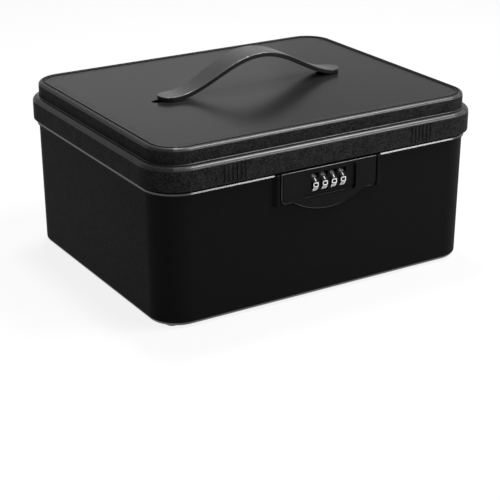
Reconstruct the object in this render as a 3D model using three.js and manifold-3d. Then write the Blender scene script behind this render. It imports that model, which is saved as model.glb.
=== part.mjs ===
// A lock box for medication: deep tub, hinged lid, four-wheel number lock in a pull flap, carry strap.
// Millimetres. +X runs right along the front, +Y runs back, +Z up.
// The origin is on the table, under the middle of the box.
import * as THREE from 'three';
import { mergeVertices } from 'three/addons/utils/BufferGeometryUtils.js';
import Module from 'manifold-3d';

const wasm = await Module();
wasm.setup();

// The box
const boxLength = 300;
const boxDepth = 243;
const boxHeight = 143;
const cornerRadius = 30;
const footHeight = 1.5;
const footDiameter = 12;
const footInset = 20;

// The lid
const skirtHeight = 19;
const tierHeight = 13;
const tierInset = 4.8;
const lidWall = 2.5;
const shoulderRound = 4;
const tierRound = 3;
const skirtEdgeRound = 0.6;
const rimWidth = 4.3;
const panelRecess = 0.7;

// The grooves in the front of the skirt
const grooveCount = 6;
const groovePitch = 3.65;
const grooveWidth = 1.2;
const grooveDepth = 0.6;
const grooveHeight = 13.2;
const grooveGroupOffset = 86;
const grooveLift = 1.8;

// The tub
const tubInset = 4.4;
const tubWall = 2.5;
const tubDraft = 1;
const tubBottomRound = 4;
const tubInnerRound = 1;
const beadProud = 1.5;
const beadHeight = 3.3;
const beadDrop = 1.2;

// Clearances
const seatGap = 0.3;
const runGap = 0.3;
const boreGap = 0.3;
const weld = 0.5;
const through = 3;

// The latch flap
const flapWidth = 88.4;
const flapHeight = 35;
const flapEarHeight = 25;
const flapEarRound = 4.5;
const flapLobeRadius = 60.5;
const flapLobeBlend = 2.6;
const flapThickness = 2.2;
const flapSetback = 1.4;
const flapTopGap = 1.5;
const flapAngle = THREE.MathUtils.degToRad(7);
const pocketDepth = 0.9;
const pocketRound = 3;
const pocketMarginSide = 8.5;
const pocketMarginAbove = 4.3;
const pocketMarginBelow = 2.1;

// The cheeks beside the flap
const cheekGap = 1;
const cheekRim = 2.4;
const cheekTopGap = 2;
const cheekBottomLap = 0.5;

// The number wheels
const wheelCount = 4;
const wheelFacets = 10;
const wheelFacetHeight = 4.35;
const wheelWidth = 5.2;
const wheelPitch = 8.5;
const wheelDrop = 14.2;
const wheelProud = 1.2;
const slotSideGap = 0.55;
const slotEndGap = 0.36;

// Shaft, discs and reset
const shaftDiameter = 2.5;
const discDiameter = 7.6;
const discThickness = 1.6;
const discGateWidth = 1.6;
const discGateDepth = 1;
const resetTravel = 1;
const collarDiameter = 4.6;
const collarThickness = 1;
const resetSpringLength = 2.75;
const resetSpringDiameter = 4.6;
const leverThickness = 2;
const leverHeight = 3.2;
const leverTabReach = 2.5;

// Lock frame
const frameWall = 1.5;
const frameBackWall = 1.2;
const frameBackGap = 1.45;
const frameMargin = 0.3;
const frameSetback = 1.7;
const framePlay = 0.4;
const frameFlange = 5.5;
const frameFlangeHeight = 5;
const frameScrewDiameter = 2;
const frameScrewHead = 4;
const frameScrewHeadHeight = 1.2;
const detentThickness = 0.4;
const detentFingerWidth = 3.6;
const detentBaseHeight = 2.2;
const detentOverrun = 1.5;

// The rocker: pivot, arms and hooks on the flap
const pivotBehindFace = 10.1;
const pivotBelowTop = 5.5;
const pivotDiameter = 2.4;
const armOffset = 30;
const armWidth = 3;
const armRise = 3.5;
const armFall = 4.5;
const hookWidth = 3;
const hookToothDepth = 1.6;
const hookToothHeight = 1.2;
const hookLead = 2.3;
const lugWidth = 1.2;
const lugReach = 2.1;
const lugHalfHeight = 3.4;
const latchSpringLength = 2.8;
const latchSpringDiameter = 4.2;
const combBarDepth = 1.5;
const combBarHeight = 2;
const combFingerWidth = 1.2;
const combOverrun = 1;

// Lock cover
const coverHalfWidth = 38;
const coverWall = 1.5;
const coverReach = 13.1;
const coverBelow = 3.5;
const coverTopBelowSkirt = 3;
const coverEar = 6;
const coverEarHeight = 8;
const coverScrewDiameter = 2.4;
const coverScrewHead = 5;
const coverScrewHeadHeight = 1.6;
const wallSkin = 1;

// Striker in the lid
const strikerHalfWidth = 36;
const strikerThickness = 1.6;
const strikerDrop = 15;
const strikerRise = 8.5;
const strikerPlay = 0.4;
const strikerToothPlay = 0.4;
const strikerScrewOffset = 14;
const strikerScrewRise = 4.5;

// Hinges
const hingeFromEnd = 55;
const hingeBarrelDiameter = 5.2;
const hingeDrop = 3.4;
const hingePinDiameter = 2.4;
const hingeLidKnuckle = 16;
const hingeTubKnuckle = 8;
const hingeKnuckleGap = 0.4;

// Carry strap
const strapLength = 172;
const strapOffset = 2.5;
const strapThickness = 3.8;
const strapMiddleWidth = 25.6;
const strapEndWidth = 18;
const strapArchHalf = 76;
const strapRise = 25.8;
const strapEdge = 0.9;
const strapSlotWidth = 7;
const strapSlotBeyondTip = 3.4;
const strapSlotLength = 22;
const clipFromTip = 12;
const clipDiameter = 6;
const clipHeadDiameter = 13;
const clipHeadThickness = 1.8;
const clipSocketDepth = 2.3;

// Roundness of the mesh
const cornerSteps = 10;
const roundSteps = 3;
const boreSides = 16;
const discSides = 24;
const footSides = 32;
const strapSteps = 44;

// Places worked out from the sizes
const halfDepth = boxDepth / 2;
const shoulderZ = boxHeight - tierHeight;
const skirtBottomZ = shoulderZ - skirtHeight;
const panelZ = boxHeight - panelRecess;
const lidUndersideZ = panelZ - lidWall;
const shoulderUndersideZ = shoulderZ - lidWall;
const tubRimZ = shoulderUndersideZ - seatGap;
const beadTopZ = skirtBottomZ - beadDrop;
const tubFrontY = tubInset - halfDepth;
const flapFaceY = flapSetback - halfDepth;
const flapBackY = flapFaceY + flapThickness;
const flapTopZ = skirtBottomZ - flapTopGap;
const flapBottomZ = flapTopZ - flapHeight;
const flapEarZ = flapTopZ - flapEarHeight;
const wheelRadius = wheelFacetHeight / 2 / Math.sin(Math.PI / wheelFacets);
const wheelApothem = wheelFacetHeight / 2 / Math.tan(Math.PI / wheelFacets);
const wheelY = flapFaceY + pocketDepth - wheelProud + wheelApothem;
const wheelZ = flapTopZ - wheelDrop;
const wheelBackY = wheelY + wheelRadius;
const wheelPlaces = Array.from({ length: wheelCount }, (_, i) => (i - (wheelCount - 1) / 2) * wheelPitch);
const firstWheelX = wheelPlaces[0] - wheelWidth / 2;
const lastWheelX = wheelPlaces[wheelCount - 1] + wheelWidth / 2;
const discShift = wheelWidth / 2 + runGap + discThickness / 2;
const shaftBore = shaftDiameter + 2 * boreGap;
const pivotY = flapFaceY + pivotBehindFace;
const pivotZ = flapTopZ - pivotBelowTop;
const pivotBore = pivotDiameter + 2 * boreGap;
const strapSlotEnd = strapLength / 2 + strapSlotBeyondTip;
const hingeOffset = boxLength / 2 - hingeFromEnd;
const hingeY = halfDepth - hingeBarrelDiameter / 2;
const hingeZ = skirtBottomZ - hingeDrop;

// Outer inset of the tub wall at a height
function tubInsetAt(z) {
  const fall = Math.max(0, (skirtBottomZ - z) / (skirtBottomZ - footHeight));
  return tubInset + tubDraft * fall;
}

// Inner face of the front wall at a height
function wallInnerY(z) {
  return tubInsetAt(z) + tubWall - halfDepth;
}

// Solids and geometries

function toSolid(geometry) {
  const bare = geometry.clone();
  bare.deleteAttribute('normal');
  bare.deleteAttribute('uv');
  const merged = mergeVertices(bare, 1e-5);
  const vertProperties = new Float32Array(merged.attributes.position.array);
  const triVerts = new Uint32Array(merged.index.array);
  return new wasm.Manifold(new wasm.Mesh({ numProp: 3, vertProperties, triVerts }));
}

function toGeometry(solid) {
  const mesh = solid.getMesh();
  const geometry = new THREE.BufferGeometry();
  geometry.setAttribute('position', new THREE.BufferAttribute(new Float32Array(mesh.vertProperties), 3));
  geometry.setIndex(new THREE.BufferAttribute(new Uint32Array(mesh.triVerts), 1));
  return geometry;
}

function join(...geometries) {
  return toGeometry(geometries.map(toSolid).reduce((all, next) => all.add(next)));
}

function cut(geometry, ...tools) {
  return toGeometry(tools.map(toSolid).reduce((rest, next) => rest.subtract(next), toSolid(geometry)));
}

function box(x0, x1, y0, y1, z0, z1) {
  const block = new THREE.BoxGeometry(x1 - x0, y1 - y0, z1 - z0);
  return block.translate((x0 + x1) / 2, (y0 + y1) / 2, (z0 + z1) / 2);
}

// A round bar along X, Y or Z through a point on the two other axes
function barX(diameter, x0, x1, y, z, sides = boreSides) {
  const bar = new THREE.CylinderGeometry(diameter / 2, diameter / 2, x1 - x0, sides);
  return bar.rotateZ(-Math.PI / 2).translate((x0 + x1) / 2, y, z);
}

function barY(diameter, y0, y1, x, z, sides = boreSides) {
  const bar = new THREE.CylinderGeometry(diameter / 2, diameter / 2, y1 - y0, sides);
  return bar.translate(x, (y0 + y1) / 2, z);
}

function barZ(diameter, z0, z1, x, y, sides = boreSides) {
  const bar = new THREE.CylinderGeometry(diameter / 2, diameter / 2, z1 - z0, sides);
  return bar.rotateX(Math.PI / 2).translate(x, y, (z0 + z1) / 2);
}

// A shape drawn in X and Z, given thickness from y0 to y1
function plateXZ(shape, y0, y1, curveSegments = 8) {
  const plate = new THREE.ExtrudeGeometry(shape, { depth: y1 - y0, bevelEnabled: false, curveSegments });
  return plate.rotateX(Math.PI / 2).translate(0, y1, 0);
}

// A shape drawn in Y and Z, given thickness from x0 to x1
function plateYZ(shape, x0, x1, curveSegments = 8) {
  const plate = new THREE.ExtrudeGeometry(shape, { depth: x1 - x0, bevelEnabled: false, curveSegments });
  const axes = new THREE.Matrix4().makeBasis(
    new THREE.Vector3(0, 1, 0),
    new THREE.Vector3(0, 0, 1),
    new THREE.Vector3(1, 0, 0),
  );
  return plate.applyMatrix4(axes).translate(x0, 0, 0);
}

function polygon(points) {
  return new THREE.Shape(points.map(([a, b]) => new THREE.Vector2(a, b)));
}

// A closed skin over rows that hold the same number of points, closed by a fan at each end
function skin(rows) {
  const count = rows[0].length;
  const positions = rows.flat().flatMap((point) => [point.x, point.y, point.z]);
  const index = [];
  for (let row = 0; row + 1 < rows.length; row += 1) {
    for (let i = 0; i < count; i += 1) {
      const here = row * count + i;
      const next = row * count + ((i + 1) % count);
      index.push(here, next, next + count, here, next + count, here + count);
    }
  }
  const ends = [rows[0], rows[rows.length - 1]];
  ends.forEach((row, end) => {
    const middle = row.reduce((sum, point) => sum.add(point), new THREE.Vector3()).divideScalar(count);
    const centre = positions.length / 3;
    positions.push(middle.x, middle.y, middle.z);
    const first = end === 0 ? 0 : (rows.length - 1) * count;
    for (let i = 0; i < count; i += 1) {
      const here = first + i;
      const next = first + ((i + 1) % count);
      index.push(centre, ...(end === 0 ? [next, here] : [here, next]));
    }
  });
  const geometry = new THREE.BufferGeometry();
  geometry.setAttribute('position', new THREE.Float32BufferAttribute(positions, 3));
  geometry.setIndex(index);
  return geometry;
}

// The box outline, a rounded rectangle, drawn in by an inset at a height
function outline(inset, z) {
  const radius = cornerRadius - inset;
  const reachX = boxLength / 2 - cornerRadius;
  const reachY = boxDepth / 2 - cornerRadius;
  const corners = [[1, 1], [-1, 1], [-1, -1], [1, -1]];
  return corners.flatMap(([sideX, sideY], quarter) => {
    const points = [];
    for (let step = 0; step <= cornerSteps; step += 1) {
      const angle = (quarter + step / cornerSteps) * Math.PI / 2;
      const x = sideX * reachX + radius * Math.cos(angle);
      const y = sideY * reachY + radius * Math.sin(angle);
      points.push(new THREE.Vector3(x, y, z));
    }
    return points;
  });
}

// Rows of the outline round an edge, from one slope angle to another, about a centre in inset and height
function roundedRows(insetCentre, zCentre, radius, from, to) {
  const rows = [];
  for (let step = 0; step <= roundSteps; step += 1) {
    const angle = from + (to - from) * step / roundSteps;
    rows.push(outline(insetCentre - radius * Math.cos(angle), zCentre + radius * Math.sin(angle)));
  }
  return rows;
}

// Materials
function plastic(name, color, roughness) {
  return new THREE.MeshStandardMaterial({ name, color, roughness, metalness: 0 });
}

function metal(name, color, roughness) {
  return new THREE.MeshStandardMaterial({ name, color, roughness, metalness: 1 });
}

const bodyPlastic = plastic('textured_black_plastic', 0x1b1b1c, 0.55);
const lidPlastic = plastic('grained_black_plastic', 0x202021, 0.6);
const flapPlastic = plastic('satin_black_plastic', 0x1d1d1e, 0.45);
const wheelPlastic = plastic('black_wheel_plastic', 0x151516, 0.4);
const strapPlastic = plastic('soft_black_plastic', 0x242425, 0.5);
const footRubber = plastic('black_rubber', 0x121212, 0.85);
const steel = metal('zinc_plated_steel', 0xb4b6b8, 0.35);
const springSteel = metal('spring_steel', 0x8f9193, 0.4);

const lockBox = new THREE.Group();

function add(name, geometry, material, place = [0, 0, 0]) {
  const mesh = new THREE.Mesh(geometry, material);
  mesh.name = name;
  mesh.position.set(...place);
  lockBox.add(mesh);
}

// Hinge knuckles lie along X behind the tub, under the rear of the skirt
function knuckleRanges(side) {
  const centre = side * hingeOffset;
  const inner = hingeLidKnuckle / 2;
  const outer = inner + hingeKnuckleGap + hingeTubKnuckle;
  return {
    lid: [centre - inner, centre + inner],
    tub: [
      [centre - outer, centre - inner - hingeKnuckleGap],
      [centre + inner + hingeKnuckleGap, centre + outer],
    ],
    pin: [centre - outer, centre + outer],
  };
}

const hinges = [['left', knuckleRanges(-1)], ['right', knuckleRanges(1)]];
const hingeBore = hingePinDiameter + 2 * boreGap;

// The wall behind the flap
const armHalf = armWidth / 2;
const armSlotHalf = armHalf + runGap;
const windowGap = 0.5;
const frameLeftX = firstWheelX - framePlay;
const frameRightX = lastWheelX + runGap + discThickness + resetTravel + framePlay;
const frameHalf = wheelRadius + frameMargin;
const windowHalf = frameHalf + 1;
const collarX = frameLeftX - frameWall - 2 * runGap - resetSpringLength - resetTravel;
const leverX = collarX - collarThickness - runGap;
const shaftEndX = frameRightX + frameWall + framePlay;
const shaftWindowHalf = collarDiameter / 2 + 2 * runGap;
const shaftWindowLeft = leverX - leverThickness - 2 * windowGap;
const shaftWindowRight = shaftEndX + resetTravel + windowGap;
const flangeY = wallInnerY(wheelZ - frameHalf) + seatGap;
const frameScrewPlaces = [
  [frameLeftX - frameWall - frameFlange + frameScrewHead / 2, wheelZ - frameHalf + frameFlangeHeight / 2],
  [frameRightX + frameWall + frameFlange - frameScrewHead / 2, wheelZ - frameHalf + frameFlangeHeight / 2],
];
const coverEarX = coverHalfWidth + coverEar / 2;
const coverScrewPlaces = [[-coverEarX, wheelZ], [coverEarX, wheelZ]];

// A blind hole in the front wall, from its inner face, that leaves a skin outside
function wallHole(diameter, [x, z]) {
  return barY(diameter, wallInnerY(z) - tubWall + wallSkin, wallInnerY(z) + through, x, z);
}

function baseTub() {
  const bottomInset = tubInset + tubDraft;
  const innerBottomZ = footHeight + tubWall;
  const beadInset = tubInset - beadProud;
  const quarter = Math.PI / 2;
  const wallTop = tubInsetAt(beadTopZ - beadHeight);
  let tub = skin([
    ...roundedRows(bottomInset + tubBottomRound, footHeight + tubBottomRound, tubBottomRound, -quarter, 0),
    outline(wallTop, beadTopZ - beadHeight),
    outline(beadInset, beadTopZ - beadHeight + beadProud / 2),
    outline(beadInset, beadTopZ),
    outline(tubInset, beadTopZ),
    outline(tubInset, tubRimZ),
    outline(tubInset + tubWall, tubRimZ),
    outline(tubInset + tubWall, skirtBottomZ),
    outline(bottomInset + tubWall, innerBottomZ + tubInnerRound),
    outline(bottomInset + tubWall + tubInnerRound, innerBottomZ),
  ]);
  // The bead stops short of the flap, and the wall behind the flap's top edge is thinner
  const cheekX = flapWidth / 2 + cheekGap;
  const flank = tubFrontY - flapFaceY;
  const beadEnd = cheekX + cheekRim + flank / 2;
  const recessHalf = cheekX - windowGap;
  const recessDepth = 0.6;
  tub = cut(
    tub,
    box(-beadEnd, beadEnd, -halfDepth, tubFrontY, beadTopZ - beadHeight - 1, beadTopZ + 1),
    box(-recessHalf, recessHalf, -halfDepth, tubFrontY + recessDepth, pivotZ - 1, skirtBottomZ + 1),
  );
  // Cheeks with a flat rim beside the flap and a sloped outer flank
  const cheekBack = tubFrontY + 1;
  const cheeks = [-1, 1].map((side) => {
    const section = polygon([
      [side * cheekX, cheekBack],
      [side * cheekX, flapFaceY],
      [side * (cheekX + cheekRim), flapFaceY],
      [side * (cheekX + cheekRim + flank), tubFrontY],
      [side * (cheekX + cheekRim + flank), cheekBack],
    ]);
    const height = skirtBottomZ - cheekTopGap - flapEarZ + cheekBottomLap;
    const cheek = new THREE.ExtrudeGeometry(section, { depth: height, bevelEnabled: false });
    return cheek.translate(0, 0, flapEarZ - cheekBottomLap);
  });
  // Lugs for the flap's two pivots, and hinge knuckles at the back
  const lugs = [-1, 1].flatMap((side) => [-1, 1].map((face) => {
    const near = side * armOffset + face * armSlotHalf;
    const far = near + face * lugWidth;
    const [x0, x1] = [Math.min(near, far), Math.max(near, far)];
    const lugBack = pivotY + lugReach;
    return box(x0, x1, wallInnerY(pivotZ) - weld, lugBack, pivotZ - lugHalfHeight, pivotZ + lugHalfHeight);
  }));
  const knuckles = hinges.flatMap(([, hinge]) => hinge.tub.map(([x0, x1]) => (
    barX(hingeBarrelDiameter, x0, x1, hingeY, hingeZ)
  )));
  tub = join(tub, ...cheeks, ...lugs, ...knuckles);
  // Openings in the front wall for wheels, shaft and arms, and blind screw holes
  const wallFront = -halfDepth;
  const wallBack = wallInnerY(0) + 1;
  const armSlots = [-1, 1].map((side) => box(
    side * armOffset - armSlotHalf,
    side * armOffset + armSlotHalf,
    wallFront,
    wallBack,
    pivotZ - armFall - 1,
    pivotZ + armRise + 2,
  ));
  const windowLeft = frameLeftX - frameWall - windowGap;
  const windowRight = frameRightX + frameWall + windowGap;
  const shaftWindowBottom = wheelZ - shaftWindowHalf;
  const shaftWindowTop = wheelZ + shaftWindowHalf;
  tub = cut(
    tub,
    ...armSlots,
    box(windowLeft, windowRight, wallFront, wallBack, wheelZ - windowHalf, wheelZ + windowHalf),
    box(shaftWindowLeft, shaftWindowRight, wallFront, wallBack, shaftWindowBottom, shaftWindowTop),
    ...frameScrewPlaces.map((place) => wallHole(frameScrewDiameter + 2 * boreGap, place)),
    ...coverScrewPlaces.map((place) => wallHole(coverScrewDiameter + 2 * boreGap, place)),
    barX(pivotBore, -armOffset - 10, -armOffset + 10, pivotY, pivotZ),
    barX(pivotBore, armOffset - 10, armOffset + 10, pivotY, pivotZ),
  );
  // Pockets for the lid's knuckles, and the bores of the hinge pins
  const pocketDiameter = hingeBarrelDiameter + 3 * runGap;
  const pockets = hinges.map(([, hinge]) => barX(
    pocketDiameter,
    hinge.lid[0] - hingeKnuckleGap,
    hinge.lid[1] + hingeKnuckleGap,
    hingeY,
    hingeZ,
    discSides,
  ));
  const bores = hinges.map(([, hinge]) => barX(hingeBore, hinge.pin[0] - 1, hinge.pin[1] + 1, hingeY, hingeZ));
  return cut(tub, ...pockets, ...bores);
}

add('base_tub', baseTub(), bodyPlastic);

// Four feet under the floor
const footX = boxLength / 2 - footInset;
const footY = boxDepth / 2 - footInset;
const feet = [
  ['foot_front_left', -footX, -footY],
  ['foot_front_right', footX, -footY],
  ['foot_rear_left', -footX, footY],
  ['foot_rear_right', footX, footY],
];
for (const [name, x, y] of feet) {
  add(name, barZ(footDiameter, 0, footHeight, 0, 0, footSides), footRubber, [x, y, 0]);
}

// The lid: skirt, shoulder, tier, narrow raised rim and sunk panel
function lidShell() {
  const quarter = Math.PI / 2;
  const innerTierInset = tierInset + lidWall;
  const roundInset = tierInset + tierRound;
  let lid = skin([
    outline(innerTierInset, lidUndersideZ),
    outline(innerTierInset, shoulderUndersideZ),
    outline(lidWall, shoulderUndersideZ),
    outline(lidWall, skirtBottomZ),
    outline(skirtEdgeRound, skirtBottomZ),
    outline(0, skirtBottomZ + skirtEdgeRound),
    ...roundedRows(shoulderRound, shoulderZ - shoulderRound, shoulderRound, 0, quarter),
    outline(tierInset, shoulderZ),
    ...roundedRows(roundInset, boxHeight - tierRound, tierRound, 0, quarter),
    outline(tierInset + rimWidth, boxHeight),
    outline(tierInset + rimWidth, panelZ),
  ]);
  const grooveBottom = skirtBottomZ + grooveLift;
  const grooves = [-1, 1].flatMap((side) => Array.from({ length: grooveCount }, (_, i) => {
    const x = side * grooveGroupOffset + (i - (grooveCount - 1) / 2) * groovePitch;
    const half = grooveWidth / 2;
    const back = grooveDepth - halfDepth;
    return box(x - half, x + half, back - through, back, grooveBottom, grooveBottom + grooveHeight);
  }));
  const slots = [-1, 1].map((side) => strapSlot(side));
  const screwHoles = [-1, 1].map((side) => {
    const tierBack = innerTierInset - halfDepth;
    const hole = coverScrewDiameter + 2 * boreGap;
    return barY(hole, tierBack - lidWall + wallSkin, tierBack + 1, side * strikerScrewOffset, strikerScrewZ);
  });
  lid = cut(lid, ...grooves, ...slots, ...screwHoles);
  const lugs = hinges.map(([, hinge]) => {
    const knuckle = barX(hingeBarrelDiameter, ...hinge.lid, hingeY, hingeZ);
    const arm = box(...hinge.lid, hingeY, halfDepth, hingeZ, skirtBottomZ + skirtEdgeRound + weld);
    return join(knuckle, arm);
  });
  lid = join(lid, ...lugs);
  const bores = hinges.map(([, hinge]) => barX(hingeBore, hinge.lid[0] - 1, hinge.lid[1] + 1, hingeY, hingeZ));
  return cut(lid, ...bores);
}

// A round-ended slot in the lid that a strap clip slides along
function strapSlot(side) {
  const radius = strapSlotWidth / 2;
  const outer = side * (strapSlotEnd - radius);
  const inner = side * (strapSlotEnd - strapSlotLength + radius);
  const bottom = lidUndersideZ - 1;
  const top = boxHeight + 1;
  const [x0, x1] = [Math.min(inner, outer), Math.max(inner, outer)];
  return join(
    box(x0, x1, -radius, radius, bottom, top),
    barZ(strapSlotWidth, bottom, top, inner, 0),
    barZ(strapSlotWidth, bottom, top, outer, 0),
  );
}

const strikerScrewZ = shoulderUndersideZ + strikerScrewRise;

add('lid_shell', lidShell(), lidPlastic);

for (const [side, hinge] of hinges) {
  add(`hinge_pin_${side}`, barX(hingePinDiameter, ...hinge.pin, hingeY, hingeZ), steel);
}

// The flap's face: square top, rounded ears and a shallow round lobe below
function flapOutline() {
  const half = flapWidth / 2;
  const lobeZ = flapBottomZ + flapLobeRadius;
  const meetX = Math.sqrt(flapLobeRadius ** 2 - (lobeZ - flapEarZ) ** 2);
  const lobeX = meetX - flapLobeBlend;
  const lobeAngle = Math.asin(lobeX / flapLobeRadius);
  const lobeEdgeZ = lobeZ - flapLobeRadius * Math.cos(lobeAngle);
  const down = -Math.PI / 2;
  const shape = new THREE.Shape();
  shape.moveTo(half, flapTopZ);
  shape.lineTo(-half, flapTopZ);
  shape.lineTo(-half, flapEarZ + flapEarRound);
  shape.absarc(flapEarRound - half, flapEarZ + flapEarRound, flapEarRound, Math.PI, 1.5 * Math.PI);
  shape.lineTo(-meetX - flapLobeBlend, flapEarZ);
  shape.quadraticCurveTo(-meetX, flapEarZ, -lobeX, lobeEdgeZ);
  shape.absarc(0, lobeZ, flapLobeRadius, down - lobeAngle, down + lobeAngle);
  shape.quadraticCurveTo(meetX, flapEarZ, meetX + flapLobeBlend, flapEarZ);
  shape.lineTo(half - flapEarRound, flapEarZ);
  shape.absarc(half - flapEarRound, flapEarZ + flapEarRound, flapEarRound, down, 0);
  return shape;
}

function roundedRectangle(x0, x1, z0, z1, radius) {
  const shape = new THREE.Shape();
  shape.absarc(x1 - radius, z1 - radius, radius, 0, Math.PI / 2);
  shape.absarc(x0 + radius, z1 - radius, radius, Math.PI / 2, Math.PI);
  shape.absarc(x0 + radius, z0 + radius, radius, Math.PI, 1.5 * Math.PI);
  shape.absarc(x1 - radius, z0 + radius, radius, 1.5 * Math.PI, 2 * Math.PI);
  return shape;
}

// Side view of one arm: from the flap back to the pivot, a tail for the comb, and the hook above
const hookTopZ = shoulderUndersideZ - 7;
const hookFrontY = tubFrontY + tubWall + 0.7 + strikerThickness + strikerPlay;
const toothTopZ = hookTopZ - hookLead;
const toothBottomZ = toothTopZ - hookToothHeight;
const combBackY = pivotY + lugReach + windowGap + combBarDepth;

function armOutline() {
  const tailZ = pivotZ - combBarHeight / 2 + runGap;
  return polygon([
    [flapBackY - weld, pivotZ - armFall],
    [pivotY, pivotZ - armFall],
    [combBackY + runGap, tailZ],
    [combBackY + runGap, tailZ + combBarHeight + 2 * runGap],
    [hookFrontY + hookWidth, pivotZ + armRise],
    [hookFrontY + hookWidth, toothTopZ],
    [hookFrontY + hookWidth - windowGap, hookTopZ],
    [hookFrontY, hookTopZ],
    [hookFrontY - hookToothDepth, toothTopZ],
    [hookFrontY - hookToothDepth, toothBottomZ],
    [hookFrontY, toothBottomZ],
    [hookFrontY, pivotZ + armRise + 1],
    [hookFrontY - 1, pivotZ + armRise],
    [flapBackY - weld, pivotZ + armRise],
  ]);
}

const slotHalfHeight = wheelRadius + slotEndGap;

function latchFlap() {
  const halfSlots = (wheelCount - 1) * wheelPitch / 2 + wheelWidth / 2 + slotSideGap;
  const pocketHalf = halfSlots + pocketMarginSide;
  const pocketTop = wheelZ + slotHalfHeight + pocketMarginAbove;
  const pocketBottom = wheelZ - slotHalfHeight - pocketMarginBelow;
  const pocket = roundedRectangle(-pocketHalf, pocketHalf, pocketBottom, pocketTop, pocketRound);
  const slotHalf = wheelWidth / 2 + slotSideGap;
  const slots = wheelPlaces.map((x) => box(
    x - slotHalf,
    x + slotHalf,
    flapFaceY - 1,
    flapBackY + 1,
    wheelZ - slotHalfHeight,
    wheelZ + slotHalfHeight,
  ));
  const face = cut(
    plateXZ(flapOutline(), flapFaceY, flapBackY, 12),
    plateXZ(pocket, flapFaceY - 1, flapFaceY + pocketDepth, 4),
    ...slots,
  );
  const arms = [-1, 1].map((side) => {
    const centre = side * armOffset;
    return plateYZ(armOutline(), centre - armHalf, centre + armHalf);
  });
  const bore = barX(pivotBore, -armOffset - armWidth, armOffset + armWidth, pivotY, pivotZ);
  return cut(join(face, ...arms), bore);
}

add('latch_flap', latchFlap(), flapPlastic);

// Pivot pins through the lugs and arms, each with a torsion spring drawn as a plain sleeve
for (const [side, sign] of [['left', -1], ['right', 1]]) {
  const lugOuter = armOffset + armSlotHalf + lugWidth;
  const lugInner = armOffset - armSlotHalf - lugWidth;
  const springOuter = lugInner - runGap;
  const springInner = springOuter - latchSpringLength;
  const span = (a, b) => [Math.min(sign * a, sign * b), Math.max(sign * a, sign * b)];
  const pin = barX(pivotDiameter, ...span(springInner - runGap, lugOuter + runGap), pivotY, pivotZ);
  const [x0, x1] = span(springInner, springOuter);
  const sleeve = cut(
    barX(latchSpringDiameter, x0, x1, pivotY, pivotZ),
    barX(pivotBore, x0 - 1, x1 + 1, pivotY, pivotZ),
  );
  add(`latch_pivot_${side}`, pin, steel);
  add(`latch_spring_${side}`, sleeve, springSteel);
}

// The comb: a bar between the arms, with a finger behind each disc
function lockingComb() {
  const barHalf = armOffset - armHalf - runGap;
  const barFront = combBackY - combBarDepth;
  const barBottom = pivotZ - combBarHeight / 2 + 2 * runGap;
  const bar = box(-barHalf, barHalf, barFront, combBackY, barBottom, barBottom + combBarHeight);
  const swing = (pivotZ - wheelZ + combOverrun) * Math.sin(flapAngle);
  const fingerFront = wheelY + discDiameter / 2 + swing + runGap;
  const fingers = wheelPlaces.map((wheelX) => {
    const x = wheelX + discShift;
    const half = combFingerWidth / 2;
    return box(x - half, x + half, fingerFront, barFront + runGap, wheelZ - combOverrun, barBottom + 1);
  });
  return join(bar, ...fingers);
}

add('locking_comb', lockingComb(), steel);

// Frame in the window of the wall: two side plates, a back plate and two flanges
const frameFrontY = flapBackY + frameSetback;
const frameBackY = wheelBackY + frameBackGap;

function lockFrame() {
  const bottom = wheelZ - frameHalf;
  const top = wheelZ + frameHalf;
  const back = frameBackY + frameBackWall;
  const leftX = frameLeftX - frameWall;
  const rightX = frameRightX + frameWall;
  const solid = join(
    box(leftX, frameLeftX, frameFrontY, back, bottom, top),
    box(frameRightX, rightX, frameFrontY, back, bottom, top),
    box(leftX, rightX, frameBackY, back, bottom, top),
    box(leftX - frameFlange, frameLeftX, flangeY, flangeY + frameWall, bottom, bottom + frameFlangeHeight),
    box(frameRightX, rightX + frameFlange, flangeY, flangeY + frameWall, bottom, bottom + frameFlangeHeight),
  );
  const screwHole = frameScrewDiameter + 2 * boreGap;
  return cut(
    solid,
    barX(shaftBore, leftX - 1, rightX + 1, wheelY, wheelZ),
    ...frameScrewPlaces.map(([x, z]) => barY(screwHole, flangeY - 1, flangeY + frameWall + 1, x, z)),
  );
}

add('lock_frame', lockFrame(), steel);

// Pan-head screws along Y, their heads just behind seatY and their shanks pointing to the front
function addScrews(name, shank, head, headHeight, tipY, seatY, places) {
  const headY = seatY + seatGap;
  const screw = join(
    barY(head, headY, headY + headHeight, 0, 0),
    barY(shank, tipY, headY + headHeight / 2, 0, 0),
  );
  places.forEach(([x, z], i) => add(`${name}_${i + 1}`, screw, steel, [x, 0, z]));
}

const screwTipY = (z) => wallInnerY(z) - tubWall + wallSkin + runGap;
addScrews(
  'lock_frame_screw',
  frameScrewDiameter,
  frameScrewHead,
  frameScrewHeadHeight,
  screwTipY(frameScrewPlaces[0][1]),
  flangeY + frameWall,
  frameScrewPlaces,
);

// Shaft with a collar that the reset spring presses on
const shaft = join(
  barX(shaftDiameter, collarX - collarThickness, shaftEndX, 0, 0),
  barX(collarDiameter, collarX - collarThickness, collarX, 0, 0, discSides),
);
add('wheel_shaft', shaft, steel, [0, wheelY, wheelZ]);

const resetSpringX = frameLeftX - frameWall - runGap - resetSpringLength;
const resetSleeve = cut(
  barX(resetSpringDiameter, resetSpringX, resetSpringX + resetSpringLength, 0, 0),
  barX(shaftBore, resetSpringX - 1, resetSpringX + resetSpringLength + 1, 0, 0),
);
add('reset_spring', resetSleeve, springSteel, [0, wheelY, wheelZ]);

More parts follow.
